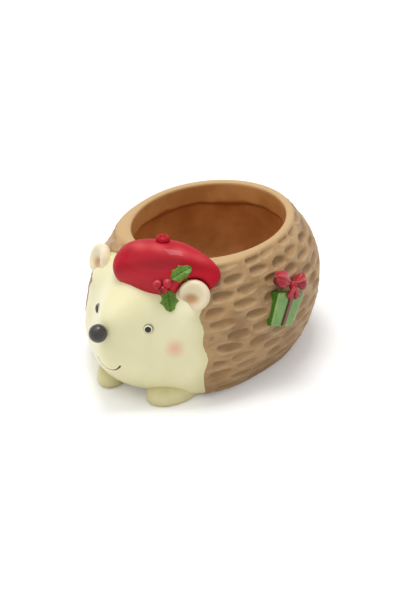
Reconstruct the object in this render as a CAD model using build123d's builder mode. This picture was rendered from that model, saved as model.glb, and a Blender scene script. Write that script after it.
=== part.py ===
from build123d import *
import os
from math import cos, exp, pi, radians, sin, sqrt

# Hedgehog planter, in millimetres. The face looks along -Y, the animal's left side is +X,
# the base stands on z = 0 and the opening's centre is over the origin.

# Pot: an egg-shaped body that narrows to its base and to its rim
belly_half_width = 59.0
belly_front = 80.0
belly_back = 71.5
belly_height = 41.0
base_half_width = 46.5
base_front = 58.0
base_back = 61.0
rim_height = 79.0
rim_lip = 2.6
opening_half_width = 40.0
opening_half_length = 48.9
side_power = 2
chin_power = 3
base_squareness = 0.5
level_shares = [0.3, 0.55, 0.78, 1]
outline_steps = 10

# Planting space: a straight collar, a ledge under it and a rounded bowl
collar_depth = 13.0
ledge_step = 1.5
bowl_floor_height = 18.0
bowl_belly_swell = 4.0
bowl_floor_half_width = 30.0
bowl_floor_half_length = 38.0
bulkhead_wall = 6.6
floor_round_height = 8.0
floor_round_share = 0.8

# Face: the front of the same body, with a snout and a smiling mouth
snout_length = 14.5
snout_height = 49.0
snout_half_width = 10.0
muzzle_half_width = 28.0
snout_fade_up = 18.7
snout_fade_down = 48.0
mouth_half_width = 8.5
mouth_height = 20.5
mouth_rise = 5.5
mouth_line = 0.7
mouth_depth = 0.6

# Gouges: staggered rows of level cuts in the flank, each deeper at the end towards the face
gouge_length = 20.0
gouge_radius = 3.4
gouge_depth = 1.4
gouge_margin = 6.5
gouge_tilt = 4.0
gouge_slope = 5.0
gouges_per_turn = 21
gouge_row_shares = [0.128, 0.22, 0.315, 0.413, 0.511, 0.61, 0.706, 0.798, 0.884]
gouge_row_beat = 1.9
gouge_place_beat = 2.7
gouge_stray_share = 0.1
gouge_shift_share = 0.18
gouge_depth_share = 0.2

# Ears: dished discs that lean out and up
ear_radius = 7.7
ear_thickness = 5.4
ear_edge_radius = 2.2
ear_dish_radius = 5.6
ear_dish_depth = 2.0
ear_side = 33.5
ear_stand = 3.0
ear_height = 66.0
ear_turn = 30.0
ear_lean = 20.0

# Nose and eyes
nose_radius = 5.2
nose_stand = 3.75
nose_height = 48.8
eye_radius = 2.6
eye_proud = 0.8
eye_side = 18.0
eye_stand = 0.6
eye_height = 48.5
eye_turn = 35.0
eye_lean = 8.0

# Front paws: the left one is a little broader and stands further out
paw_height = 15.0
paw_level_shares = [(0, 0.9), (0.15, 1), (0.45, 0.97), (0.75, 0.78), (1, 0.35)]
left_paw_half_width = 10.9
left_paw_half_length = 17.0
left_paw_side = 22.0
left_paw_lead = 2.0
left_paw_toe_in = 12.0
right_paw_half_width = 9.4
right_paw_half_length = 18.0
right_paw_side = 17.5
right_paw_lead = 4.4
right_paw_toe_in = 21.0

# Beret, with its stalk
beret_half_length = 30.3
beret_half_width = 17.5
beret_half_thickness = 11.1
beret_side = 12.4
beret_lead = 1.8
beret_drop = 5.2
beret_yaw = 22.4
beret_tilt = 30.5
beret_ear_gap = 0.3
stalk_radius = 3.8
stalk_length = 4.3
stalk_root = 5.0
stalk_edge_radius = 1.6
stalk_along_share = -0.14
stalk_across_share = 0.74

# Holly: two leaves and three berries where the beret's lower edge meets the near ear
holly_turn = 33.0
leaf_thickness = 0.9
leaf_root = 3.0
upper_leaf_length = 13.6
upper_leaf_half_width = 4.2
upper_leaf_side = 27.3
upper_leaf_sink = 0.4
upper_leaf_height = 78.4
upper_leaf_lean = 40.0
upper_leaf_angle = 34.0
lower_leaf_length = 12.4
lower_leaf_half_width = 4.4
lower_leaf_side = 25.6
lower_leaf_stand = 4.0
lower_leaf_height = 64.2
lower_leaf_lean = 20.0
lower_leaf_angle = -81.0
leaf_edge_shares = [(0, 0), (0.2, 0.75), (0.34, 0.6), (0.5, 1), (0.66, 0.55), (0.78, 0.62), (1, 0)]
berry_radius = 2.4
berry_side = 21.4
berry_height = 71.2
berry_lean = 20.0
berry_place_shares = [(-1.0, 0.45), (1.35, 0.9), (-0.5, -1.55)]

# Gift on the left flank, with its ribbon and bow
gift_width = 22.0
gift_height = 19.5
gift_proud = 4.1
gift_root = 7.0
gift_edge_radius = 0.8
gift_roll = 22.0
gift_along = -6.7
gift_up = 44.6
ribbon_width = 3.4
ribbon_thickness = 0.8
bow_rise = 4.2
bow_loop_half_length = 6.2
bow_loop_half_width = 3.8
bow_loop_reach = 7.8
bow_loop_depth = 4.2
bow_loop_turn = 24.0
bow_knot_radius = 2.8
bow_knot_depth = 1.4
bow_tail_length = 9.5
bow_tail_width = 2.8
bow_tail_thickness = 1.8
bow_tail_spread = 32.0

overrun = 5.0


def swell(middle, end, share, power):
    """Half size between the belly, at share 0, and an end, at share 1."""
    return (middle**power - share**power * (middle**power - end**power)) ** (1 / power)


def snout_reach(height):
    """How far the snout stands out of the body's front at a height."""
    fade = snout_fade_up if height > snout_height else snout_fade_down
    return snout_length * exp(-(((height - snout_height) / fade) ** 2))


def snout_spread(height):
    """Half width of the snout at a height: wide at the muzzle, narrow at the nose."""
    drop = max(0, 1 - height / snout_height)
    return snout_half_width + (muzzle_half_width - snout_half_width) * drop


def body_outline(height, half_width, front, back, squareness):
    """One level of the body: a half ellipse behind, a blunt front with the snout on it."""
    power = 2 + squareness
    points = []
    steps = [step / outline_steps for step in range(outline_steps + 1)]
    for step in steps:
        angle = radians(180 * step)
        across = abs(cos(angle)) ** (2 / power) * (1 if cos(angle) > 0 else -1)
        along = abs(sin(angle)) ** (2 / power)
        x = half_width * across
        bump = snout_reach(height) * exp(-((x / snout_spread(height)) ** 2)) * along
        points.append((-x, -front * along - bump))
    side_slope = points[1][1] / steps[1]
    tangents = [(0, side_slope), (0, -side_slope)]
    with BuildSketch(Plane.XY.offset(height)) as outline:
        with BuildLine():
            add(Edge.make_spline(points, tangents=tangents, parameters=steps, scale=False))
            EllipticalCenterArc((0, 0), half_width, back, 0, arc_size=180)
        make_face()
    return outline.sketch


def body_outlines():
    """The levels of the body from the base to the rim."""
    rim_half_width = opening_half_width + rim_lip
    rim_half_length = opening_half_length + rim_lip
    outlines = []
    for share in reversed(level_shares):
        lower = body_outline(
            belly_height * (1 - share),
            swell(belly_half_width, base_half_width, share, side_power),
            swell(belly_front, base_front, share, chin_power),
            swell(belly_back, base_back, share, side_power),
            base_squareness * sqrt(share),
        )
        outlines.append(lower)
    outlines.append(body_outline(belly_height, belly_half_width, belly_front, belly_back, 0))
    for share in level_shares:
        upper = body_outline(
            belly_height + (rim_height - belly_height) * share,
            swell(belly_half_width, rim_half_width, share, side_power),
            swell(belly_front, rim_half_length, share, side_power),
            swell(belly_back, rim_half_length, share, side_power),
            0,
        )
        outlines.append(upper)
    return outlines


def bowl_outline(height, half_width, front, back):
    """One level of the planting space: two half ellipses."""
    with BuildSketch(Plane.XY.offset(height)) as outline:
        with BuildLine():
            EllipticalCenterArc((0, 0), half_width, front, 180, arc_size=180)
            EllipticalCenterArc((0, 0), half_width, back, 0, arc_size=180)
        make_face()
    return outline.sketch


def bowl_outlines():
    """The levels of the bowl from the ledge down to its floor."""
    ledge_width = opening_half_width + ledge_step
    ledge_length = opening_half_length + ledge_step
    heel_width = bowl_floor_half_width + (ledge_width - bowl_floor_half_width) * floor_round_share
    heel_length = bowl_floor_half_length + (ledge_length - bowl_floor_half_length) * floor_round_share
    back = ledge_length + bowl_belly_swell
    return [
        bowl_outline(rim_height - collar_depth, ledge_width, ledge_length, ledge_length),
        bowl_outline(belly_height, ledge_width + bowl_belly_swell, ledge_length, back),
        bowl_outline(bowl_floor_height + floor_round_height, heel_width, heel_length, heel_length),
        bowl_outline(
            bowl_floor_height,
            bowl_floor_half_width,
            bowl_floor_half_length,
            bowl_floor_half_length,
        ),
    ]


seam_front = opening_half_length + ledge_step + bulkhead_wall
seam_plane = Plane(origin=(0, -seam_front, 0), x_dir=(1, 0, 0), z_dir=(0, 1, 0))

# The body's form, cut at the seam into the pot and the face
with BuildPart() as form:
    loft(body_outlines())


def outward(turn, lean):
    """Unit direction that leans up from the front and turns to the animal's left."""
    return Vector(
        sin(radians(turn)) * cos(radians(lean)),
        -cos(radians(turn)) * cos(radians(lean)),
        sin(radians(lean)),
    )


def front_point(carrier, side, height):
    """Where a piece's outside is, seen from the front."""
    sight = Axis((side, 0, height), (0, -1, 0))
    return carrier.find_intersection_points(sight)[-1][0]


def flank_point(along, height):
    """Where the body's left flank is."""
    sight = Axis((0, along, height), (1, 0, 0))
    return form.part.find_intersection_points(sight)[-1][0]


# Planes of the near ear, of the beret and of the gift
ear_plane = Plane(
    origin=front_point(form.part, ear_side, ear_height) - Vector(0, ear_stand, 0),
    x_dir=(cos(radians(ear_turn)), sin(radians(ear_turn)), 0),
    z_dir=outward(ear_turn, ear_lean),
)
beret_plane = Plane(
    origin=(beret_side, -opening_half_length - rim_lip - beret_lead, rim_height - beret_drop),
    x_dir=(cos(radians(beret_yaw)), sin(radians(beret_yaw)), 0),
    z_dir=(
        sin(radians(beret_yaw)) * sin(radians(beret_tilt)),
        -cos(radians(beret_yaw)) * sin(radians(beret_tilt)),
        cos(radians(beret_tilt)),
    ),
)
# The gift lies along the flank, from its foot to the top of its bow and from edge to edge
bow_top = gift_height / 2 + bow_rise + bow_knot_radius
gift_edges = flank_point(gift_along + gift_width / 2, gift_up) - flank_point(
    gift_along - gift_width / 2, gift_up
)
gift_rise = flank_point(gift_along, gift_up + bow_top) - flank_point(
    gift_along, gift_up - gift_height / 2
)
gift_seat = Plane(
    origin=flank_point(gift_along, gift_up),
    x_dir=gift_edges,
    z_dir=gift_edges.cross(gift_rise),
)
gift_plane = Plane(gift_seat.location * Pos(0, 0, gift_proud) * Rot(0, 0, -gift_roll))


def stray(row, place, turn):
    """A steady unevenness, between -1 and 1, for each gouge."""
    return sin(gouge_row_beat * row + gouge_place_beat * place + turn)


def is_open_flank(point):
    """Whether a gouge there stays behind the seam and clear of the ears, beret and gift."""
    on_gift = gift_plane.to_local_coords(point)
    beside_gift = abs(on_gift.X) > gift_width / 2 + gouge_margin or point.X < 0
    under_gift = on_gift.Y < -gift_height / 2 - gouge_radius
    over_bow = on_gift.Y > bow_top + gouge_radius
    on_beret = beret_plane.to_local_coords(point)
    beret_share = (on_beret.X / (beret_half_length + gouge_margin)) ** 2
    beret_share += (on_beret.Y / (beret_half_width + gouge_margin)) ** 2
    near_ear = Vector(abs(point.X), point.Y, point.Z) - ear_plane.origin
    clear_of_ear = near_ear.length > ear_radius + gouge_margin
    clear_of_gift = beside_gift or under_gift or over_bow
    behind_seam = point.Y > gouge_margin - seam_front
    return behind_seam and clear_of_gift and clear_of_ear and beret_share > 1


def gouge_planes():
    """Where each gouge lies: rows around the flank, each row staggered against the next."""
    planes = []
    row_height = rim_height / len(gouge_row_shares)
    for row, height_share in enumerate(gouge_row_shares):
        shift = (row % 2) / 2 + gouge_shift_share * sin(gouge_row_beat * row)
        for place in range(gouges_per_turn):
            along = place - shift + gouge_stray_share * stray(row, place, 0)
            angle = 2 * pi * along / gouges_per_turn
            up = rim_height * height_share + row_height * gouge_stray_share * stray(row, place, 2)
            sight = Axis((0, 0, up), (cos(angle), sin(angle), 0))
            middle, normal = form.part.find_intersection_points(sight)[-1]
            if is_open_flank(middle):
                depth = gouge_depth * (1 + gouge_depth_share * stray(row, place, 6))
                level = Plane(origin=middle, x_dir=(-sin(angle), cos(angle), 0), z_dir=normal)
                tilt = -gouge_tilt if cos(angle) > 0 else gouge_tilt
                slope = gouge_slope * stray(row, place, 4)
                lift = Pos(0, 0, gouge_radius - depth)
                planes.append(Plane(level.location * lift * Rot(0, tilt, slope)))
    return planes


with BuildPart() as gouge:
    with BuildSketch():
        with BuildLine():
            ThreePointArc((-gouge_length / 2, 0), (0, gouge_radius), (gouge_length / 2, 0))
            Line((gouge_length / 2, 0), (-gouge_length / 2, 0))
        make_face()
    revolve(axis=Axis.X)

# Gift
with BuildPart() as gift_box:
    with Locations(gift_plane):
        Box(
            gift_width,
            gift_height,
            gift_proud + gift_root,
            align=(Align.CENTER, Align.CENTER, Align.MAX),
        )
    fillet(gift_box.edges(), radius=gift_edge_radius)
    add(form.part, mode=Mode.SUBTRACT)
gift_box.part.label = "gift_box"

# Ribbon down the middle of the gift's front
with BuildPart(gift_plane) as gift_ribbon:
    Box(
        ribbon_width,
        gift_height - 2 * gift_edge_radius,
        ribbon_thickness,
        align=(Align.CENTER, Align.CENTER, Align.MIN),
    )
    fillet(
        gift_ribbon.faces().sort_by(Axis(gift_plane.origin, gift_plane.z_dir))[-1].edges(),
        radius=ribbon_thickness / 2,
    )
gift_ribbon.part.label = "gift_ribbon"

# Bow above the gift: two loops, a knot and two tails
bow_plane = Plane(gift_plane.location * Pos(0, gift_height / 2 + bow_rise, 0))


def bow_loop(side):
    """A puffed loop on one side of the knot, seated on the flank."""
    loop_plane = Plane(
        bow_plane.location
        * Pos(side * bow_loop_reach * cos(radians(bow_loop_turn)), 0, -bow_loop_depth)
        * Rot(0, 0, side * bow_loop_turn)
    )
    # The loop is a sphere stretched to its half sizes
    loop_size = (bow_loop_half_length, bow_loop_half_width, bow_loop_half_width)
    unit = Sphere(radius=1, mode=Mode.PRIVATE)
    puff = loop_plane.location * scale(unit, by=loop_size, mode=Mode.PRIVATE)
    with BuildPart() as loop:
        add(puff)
        add(form.part, mode=Mode.SUBTRACT)
        add(gift_box.part, mode=Mode.SUBTRACT)
    return loop.part


with BuildPart() as bow_knot:
    with Locations(bow_plane.location * Pos(0, 0, -bow_knot_depth)):
        Sphere(radius=bow_knot_radius)
    add(gift_box.part, mode=Mode.SUBTRACT)
    add(form.part, mode=Mode.SUBTRACT)
bow_knot.part.label = "bow_knot"

with BuildPart() as bow_left_loop:
    add(bow_loop(-1))
    add(bow_knot.part, mode=Mode.SUBTRACT)
bow_left_loop.part.label = "bow_left_loop"

with BuildPart() as bow_right_loop:
    add(bow_loop(1))
    add(bow_knot.part, mode=Mode.SUBTRACT)
    add(bow_left_loop.part, mode=Mode.SUBTRACT)
bow_right_loop.part.label = "bow_right_loop"

with BuildPart() as bow_tails:
    for side in (-1, 1):
        with Locations(bow_plane.location * Rot(0, 0, side * bow_tail_spread / 2)):
            Box(
                bow_tail_width,
                bow_tail_length,
                bow_tail_thickness,
                align=(Align.CENTER, Align.MAX, Align.MIN),
            )
    add(bow_knot.part, mode=Mode.SUBTRACT)
    add(gift_box.part, mode=Mode.SUBTRACT)
    add(gift_ribbon.part, mode=Mode.SUBTRACT)
    add(bow_left_loop.part, mode=Mode.SUBTRACT)
    add(bow_right_loop.part, mode=Mode.SUBTRACT)
bow_tails.part.label = "bow_tails"

# Mouth: a shallow smile that follows the muzzle
with BuildPart() as mouth_cutter:
    with BuildSketch(Plane.XZ.offset(seam_front)):
        with BuildLine():
            ThreePointArc(
                (-mouth_half_width, mouth_height + mouth_rise),
                (0, mouth_height),
                (mouth_half_width, mouth_height + mouth_rise),
            )
            offset(amount=mouth_line / 2)
        make_face()
    extrude(amount=belly_front)
    add(Pos(0, mouth_depth, 0) * form.part, mode=Mode.SUBTRACT)

# Face
with BuildPart() as face_shell:
    add(form.part)
    split(bisect_by=seam_plane, keep=Keep.BOTTOM)
    add(mouth_cutter.part, mode=Mode.SUBTRACT)
face_shell.part.label = "face_shell"


# Ears
dish_sphere_radius = (ear_dish_radius**2 + ear_dish_depth**2) / (2 * ear_dish_depth)
dish_rise = ear_thickness / 2 + dish_sphere_radius - ear_dish_depth
with BuildPart() as left_ear:
    with Locations(ear_plane):
        Cylinder(radius=ear_radius, height=ear_thickness)
    fillet(left_ear.edges().filter_by(GeomType.CIRCLE), radius=ear_edge_radius)
    with Locations(ear_plane.offset(dish_rise)):
        Sphere(radius=dish_sphere_radius, mode=Mode.SUBTRACT)
    add(form.part, mode=Mode.SUBTRACT)
left_ear.part.label = "left_ear"

with BuildPart() as right_ear:
    mirror(left_ear.part, about=Plane.YZ)
right_ear.part.label = "right_ear"

# Nose
with BuildPart() as nose:
    with Locations(front_point(form.part, 0, nose_height) - Vector(0, nose_stand, 0)):
        Sphere(radius=nose_radius)
    add(face_shell.part, mode=Mode.SUBTRACT)
nose.part.label = "nose"

# Eyes: low domes, each the cap of a sphere
eye_sphere_radius = (eye_radius**2 + eye_proud**2) / (2 * eye_proud)
eye_foot = front_point(form.part, eye_side, eye_height) - Vector(0, eye_stand, 0)
eye_centre = eye_foot + outward(eye_turn, eye_lean) * (eye_proud - eye_sphere_radius)
with BuildPart() as left_eye:
    with Locations(eye_centre):
        Sphere(radius=eye_sphere_radius)
    add(face_shell.part, mode=Mode.SUBTRACT)
left_eye.part.label = "left_eye"

with BuildPart() as right_eye:
    mirror(left_eye.part, about=Plane.YZ)
right_eye.part.label = "right_eye"

# Front paws
def paw_outlines(side, front, toe_in, half_width, half_length):
    """The levels of a paw from its sole up to the part that the cheek covers."""
    outlines = []
    for height_share, size_share in paw_level_shares:
        level = Plane(
            origin=(side, -front, paw_height * height_share),
            x_dir=(cos(radians(toe_in)), -sin(radians(toe_in)), 0),
            z_dir=(0, 0, 1),
        )
        with BuildSketch(level) as outline:
            Ellipse(half_width * size_share, half_length * size_share)
        outlines.append(outline.sketch)
    return outlines


with BuildPart() as left_paw:
    loft(
        paw_outlines(
            left_paw_side,
            base_front + left_paw_lead,
            left_paw_toe_in,
            left_paw_half_width,
            left_paw_half_length,
        )
    )
    add(form.part, mode=Mode.SUBTRACT)
left_paw.part.label = "left_paw"

with BuildPart() as right_paw:
    loft(
        paw_outlines(
            -right_paw_side,
            base_front + right_paw_lead,
            -right_paw_toe_in,
            right_paw_half_width,
            right_paw_half_length,
        )
    )
    add(form.part, mode=Mode.SUBTRACT)
right_paw.part.label = "right_paw"

# Beret: a flattened puffy cap that lies tilted over the forehead
# The cap is a sphere stretched to the beret's half sizes
cap_size = (beret_half_length, beret_half_width, beret_half_thickness)
cap = beret_plane.location * scale(Sphere(radius=1), by=cap_size)

with BuildPart() as beret:
    add(cap)
    add(form.part, mode=Mode.SUBTRACT)
    with Locations(ear_plane):
        Cylinder(
            radius=ear_radius + beret_ear_gap,
            height=2 * beret_half_width + ear_thickness,
            align=(Align.CENTER, Align.CENTER, Align.CENTER),
            mode=Mode.SUBTRACT,
        )
beret.part.label = "beret"

# Stalk on the crown
stalk_rise = beret_half_thickness * sqrt(1 - stalk_along_share**2 - stalk_across_share**2)
stalk_foot = beret_plane.from_local_coords(
    Vector(
        beret_half_length * stalk_along_share,
        beret_half_width * stalk_across_share,
        stalk_rise,
    )
)
with BuildPart() as beret_stalk:
    with Locations(stalk_foot - Vector(0, 0, stalk_root)):
        Cylinder(
            radius=stalk_radius,
            height=stalk_root + stalk_length,
            align=(Align.CENTER, Align.CENTER, Align.MIN),
        )
    fillet(beret_stalk.edges().group_by(Axis.Z)[-1], radius=stalk_edge_radius)
    add(beret.part, mode=Mode.SUBTRACT)
    add(form.part, mode=Mode.SUBTRACT)
beret_stalk.part.label = "beret_stalk"

# Holly leaves
def leaf(middle, lean, angle, length, half_width):
    """A toothed leaf whose root is cut to the surface that it lies on."""
    level = Plane(
        origin=middle,
        x_dir=(cos(radians(holly_turn)), sin(radians(holly_turn)), 0),
        z_dir=outward(holly_turn, lean),
    ).rotated((0, 0, angle))
    edge = [(length * (along - 0.5), half_width * across) for along, across in leaf_edge_shares]
    with BuildPart() as blade:
        with BuildSketch(level.offset(-leaf_root)):
            with BuildLine():
                Polyline(*edge)
                mirror(about=Plane.XZ)
            make_face()
        extrude(amount=leaf_root + leaf_thickness)
        add(form.part, mode=Mode.SUBTRACT)
        add(beret.part, mode=Mode.SUBTRACT)
        add(left_ear.part, mode=Mode.SUBTRACT)
    return blade.part


with BuildPart() as holly_leaf_upper:
    add(
        leaf(
            front_point(beret.part, upper_leaf_side, upper_leaf_height) + Vector(0, upper_leaf_sink, 0),
            upper_leaf_lean,
            upper_leaf_angle,
            upper_leaf_length,
            upper_leaf_half_width,
        )
    )
holly_leaf_upper.part.label = "holly_leaf_upper"

with BuildPart() as holly_leaf_lower:
    add(
        leaf(
            front_point(form.part, lower_leaf_side, lower_leaf_height) - Vector(0, lower_leaf_stand, 0),
            lower_leaf_lean,
            lower_leaf_angle,
            lower_leaf_length,
            lower_leaf_half_width,
        )
    )
    add(holly_leaf_upper.part, mode=Mode.SUBTRACT)
holly_leaf_lower.part.label = "holly_leaf_lower"

# Holly berries
berry_plane = Plane(
    origin=front_point(beret.part, berry_side, berry_height),
    x_dir=(cos(radians(holly_turn)), sin(radians(holly_turn)), 0),
    z_dir=outward(holly_turn, berry_lean),
)
berry_places = [(berry_radius * x_share, berry_radius * y_share) for x_share, y_share in berry_place_shares]
with BuildPart() as holly_berries:
    with Locations(berry_plane):
        with Locations(*berry_places):
            Sphere(radius=berry_radius)
    add(form.part, mode=Mode.SUBTRACT)
    add(beret.part, mode=Mode.SUBTRACT)
    add(holly_leaf_upper.part, mode=Mode.SUBTRACT)
    add(holly_leaf_lower.part, mode=Mode.SUBTRACT)
holly_berries.part.label = "holly_berries"

# Pot
with BuildPart() as pot_shell:
    add(form.part)
    split(bisect_by=seam_plane, keep=Keep.TOP)
    with BuildSketch(Plane.XY.offset(rim_height + overrun)):
        Ellipse(opening_half_width, opening_half_length)
    extrude(amount=-overrun - collar_depth, mode=Mode.SUBTRACT)
    loft(bowl_outlines(), mode=Mode.SUBTRACT)
    with Locations(*gouge_planes()):
        add(gouge.part, mode=Mode.SUBTRACT)
pot_shell.part.label = "pot_shell"

os.makedirs("parts", exist_ok=True)
pieces = [
    pot_shell,
    face_shell,
    left_ear,
    right_ear,
    nose,
    left_eye,
    right_eye,
    left_paw,
    right_paw,
    beret,
    beret_stalk,
    holly_leaf_upper,
    holly_leaf_lower,
    holly_berries,
    gift_box,
    gift_ribbon,
    bow_left_loop,
    bow_right_loop,
    bow_knot,
    bow_tails,
]
for piece in pieces:
    print(piece.part.label, len(piece.part.solids()), round(piece.part.volume, 1))
    export_step(piece.part, f"parts/{piece.part.label}.step")
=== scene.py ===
"""Looks of the hedgehog planter: a gouged brown body, a cream head, a beret, holly and a gift.

Lengths are in metres, in the part's frame: -Y is the front, +X the animal's left, +Z is up.
"""

import logging
from dataclasses import dataclass, fields
from enum import Enum
from math import cos, pi, radians, sin, sqrt

import bmesh
import bpy
import numpy as np
from bpy.types import Material, Node, NodeOutputs, NodeSocket, NodeTree, Object
from mathutils import Matrix, Vector
from mathutils.bvhtree import BVHTree


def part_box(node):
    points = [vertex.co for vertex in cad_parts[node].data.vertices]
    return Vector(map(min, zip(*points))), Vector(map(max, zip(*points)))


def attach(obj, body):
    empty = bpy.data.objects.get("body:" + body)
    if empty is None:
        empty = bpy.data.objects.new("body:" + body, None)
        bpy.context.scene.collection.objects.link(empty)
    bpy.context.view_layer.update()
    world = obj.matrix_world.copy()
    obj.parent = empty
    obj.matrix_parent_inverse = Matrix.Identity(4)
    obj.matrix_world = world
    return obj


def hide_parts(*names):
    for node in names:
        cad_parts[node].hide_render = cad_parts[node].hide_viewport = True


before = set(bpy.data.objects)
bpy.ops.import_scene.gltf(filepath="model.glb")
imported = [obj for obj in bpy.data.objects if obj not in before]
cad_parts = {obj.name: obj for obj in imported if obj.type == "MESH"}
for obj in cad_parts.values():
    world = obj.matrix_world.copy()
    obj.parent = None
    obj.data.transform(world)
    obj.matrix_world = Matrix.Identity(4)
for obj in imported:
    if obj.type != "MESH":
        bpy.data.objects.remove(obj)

LOG = logging.getLogger("planter")
BODY = "root"
RAY_REACH = 0.2
Array = np.ndarray
Place = tuple[float, float, float]


class Side(Enum):
    """The animal's left side is +X, its right side is -X."""

    LEFT = 1
    RIGHT = -1

    def node(self, piece: str) -> str:
        """The name of this side's node."""
        return f"{self.name.lower()}_{piece}"


@dataclass(frozen=True)
class Paint:
    """A colour by its screen values.

    Args:
        red: Screen red, 0 to 255.
        green: Screen green, 0 to 255.
        blue: Screen blue, 0 to 255.
    """

    red: int
    green: int
    blue: int

    def linear(self) -> tuple[float, ...]:
        """The linear colour with full alpha."""
        screen = [channel / 255 for channel in (self.red, self.green, self.blue)]
        linear = [c / 12.92 if c <= 0.04045 else ((c + 0.055) / 1.055) ** 2.4 for c in screen]
        return (*linear, 1.0)


def ease(values: Array) -> Array:
    """A smooth step from 0 to 1."""
    share = np.clip(values, 0, 1)
    return share * share * (3 - 2 * share)


def bump(values: Array, width: float) -> Array:
    """A soft hill of height 1 around zero."""
    return np.exp(-((values / width) ** 2))


def circle(count: int) -> Array:
    """Even angles once around."""
    return np.linspace(0, 2 * pi, count, endpoint=False)


def outward(turn: float, lean: float) -> Vector:
    """Unit direction that leans up from the front and turns to the animal's left.

    Args:
        turn: Degrees from the front towards +X.
        lean: Degrees up from level.

    Returns:
        The direction.
    """
    level = cos(radians(lean))
    return Vector((sin(radians(turn)) * level, -cos(radians(turn)) * level, sin(radians(lean))))


def sideways(turn: float) -> Vector:
    """Level unit direction towards the animal's left, turned like outward."""
    return Vector((cos(radians(turn)), sin(radians(turn)), 0))


@dataclass(frozen=True)
class Seat:
    """A plane that a piece is built on.

    Args:
        origin: The plane's middle.
        right: Its first direction, squared up against out.
        out: Its normal.
    """

    origin: Vector
    right: Vector
    out: Vector

    def axes(self) -> Array:
        """The three directions of the plane, one a row."""
        out = self.out.normalized()
        right = (self.right - out * self.right.dot(out)).normalized()
        return np.array([right, out.cross(right), out])

    def at(self, x: Array, y: Array, z: Array) -> Array:
        """Points of the frame from coordinates on the plane."""
        local = np.stack(np.broadcast_arrays(x, y, z), axis=-1).astype(float)
        return local @ self.axes() + np.array(self.origin)

    def local(self, points: Array) -> Array:
        """Coordinates on the plane from points of the frame."""
        return (points - np.array(self.origin)) @ self.axes().T

    def turned(self, degrees: float) -> "Seat":
        """The same plane, turned about its normal."""
        turn = Matrix.Rotation(radians(degrees), 3, self.out)
        return Seat(self.origin, turn @ Vector(self.axes()[0]), self.out)

    def moved(self, x: float, y: float, z: float) -> "Seat":
        """The same plane with its middle moved along its own directions."""
        return Seat(Vector(self.at(x, y, z)), Vector(self.axes()[0]), self.out)


def paired_seat(side: Side, middle: Place, turn: float, lean: float) -> Seat:
    """The plane of one piece of a pair.

    Args:
        side: Which one it is.
        middle: Middle of the left one.
        turn: Degrees that it faces outwards.
        lean: Degrees that it leans back.

    Returns:
        The plane, mirrored for the right one.
    """
    sign = side.value
    x, y, z = middle
    return Seat(Vector((sign * x, y, z)), sideways(sign * turn), outward(sign * turn, lean))


def about_axis(angles: Array, radii: Array, heights: Array) -> Array:
    """Points from angles, radii and heights about the upright axis."""
    return np.stack(np.broadcast_arrays(radii * np.cos(angles), radii * np.sin(angles), heights), -1)


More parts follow.
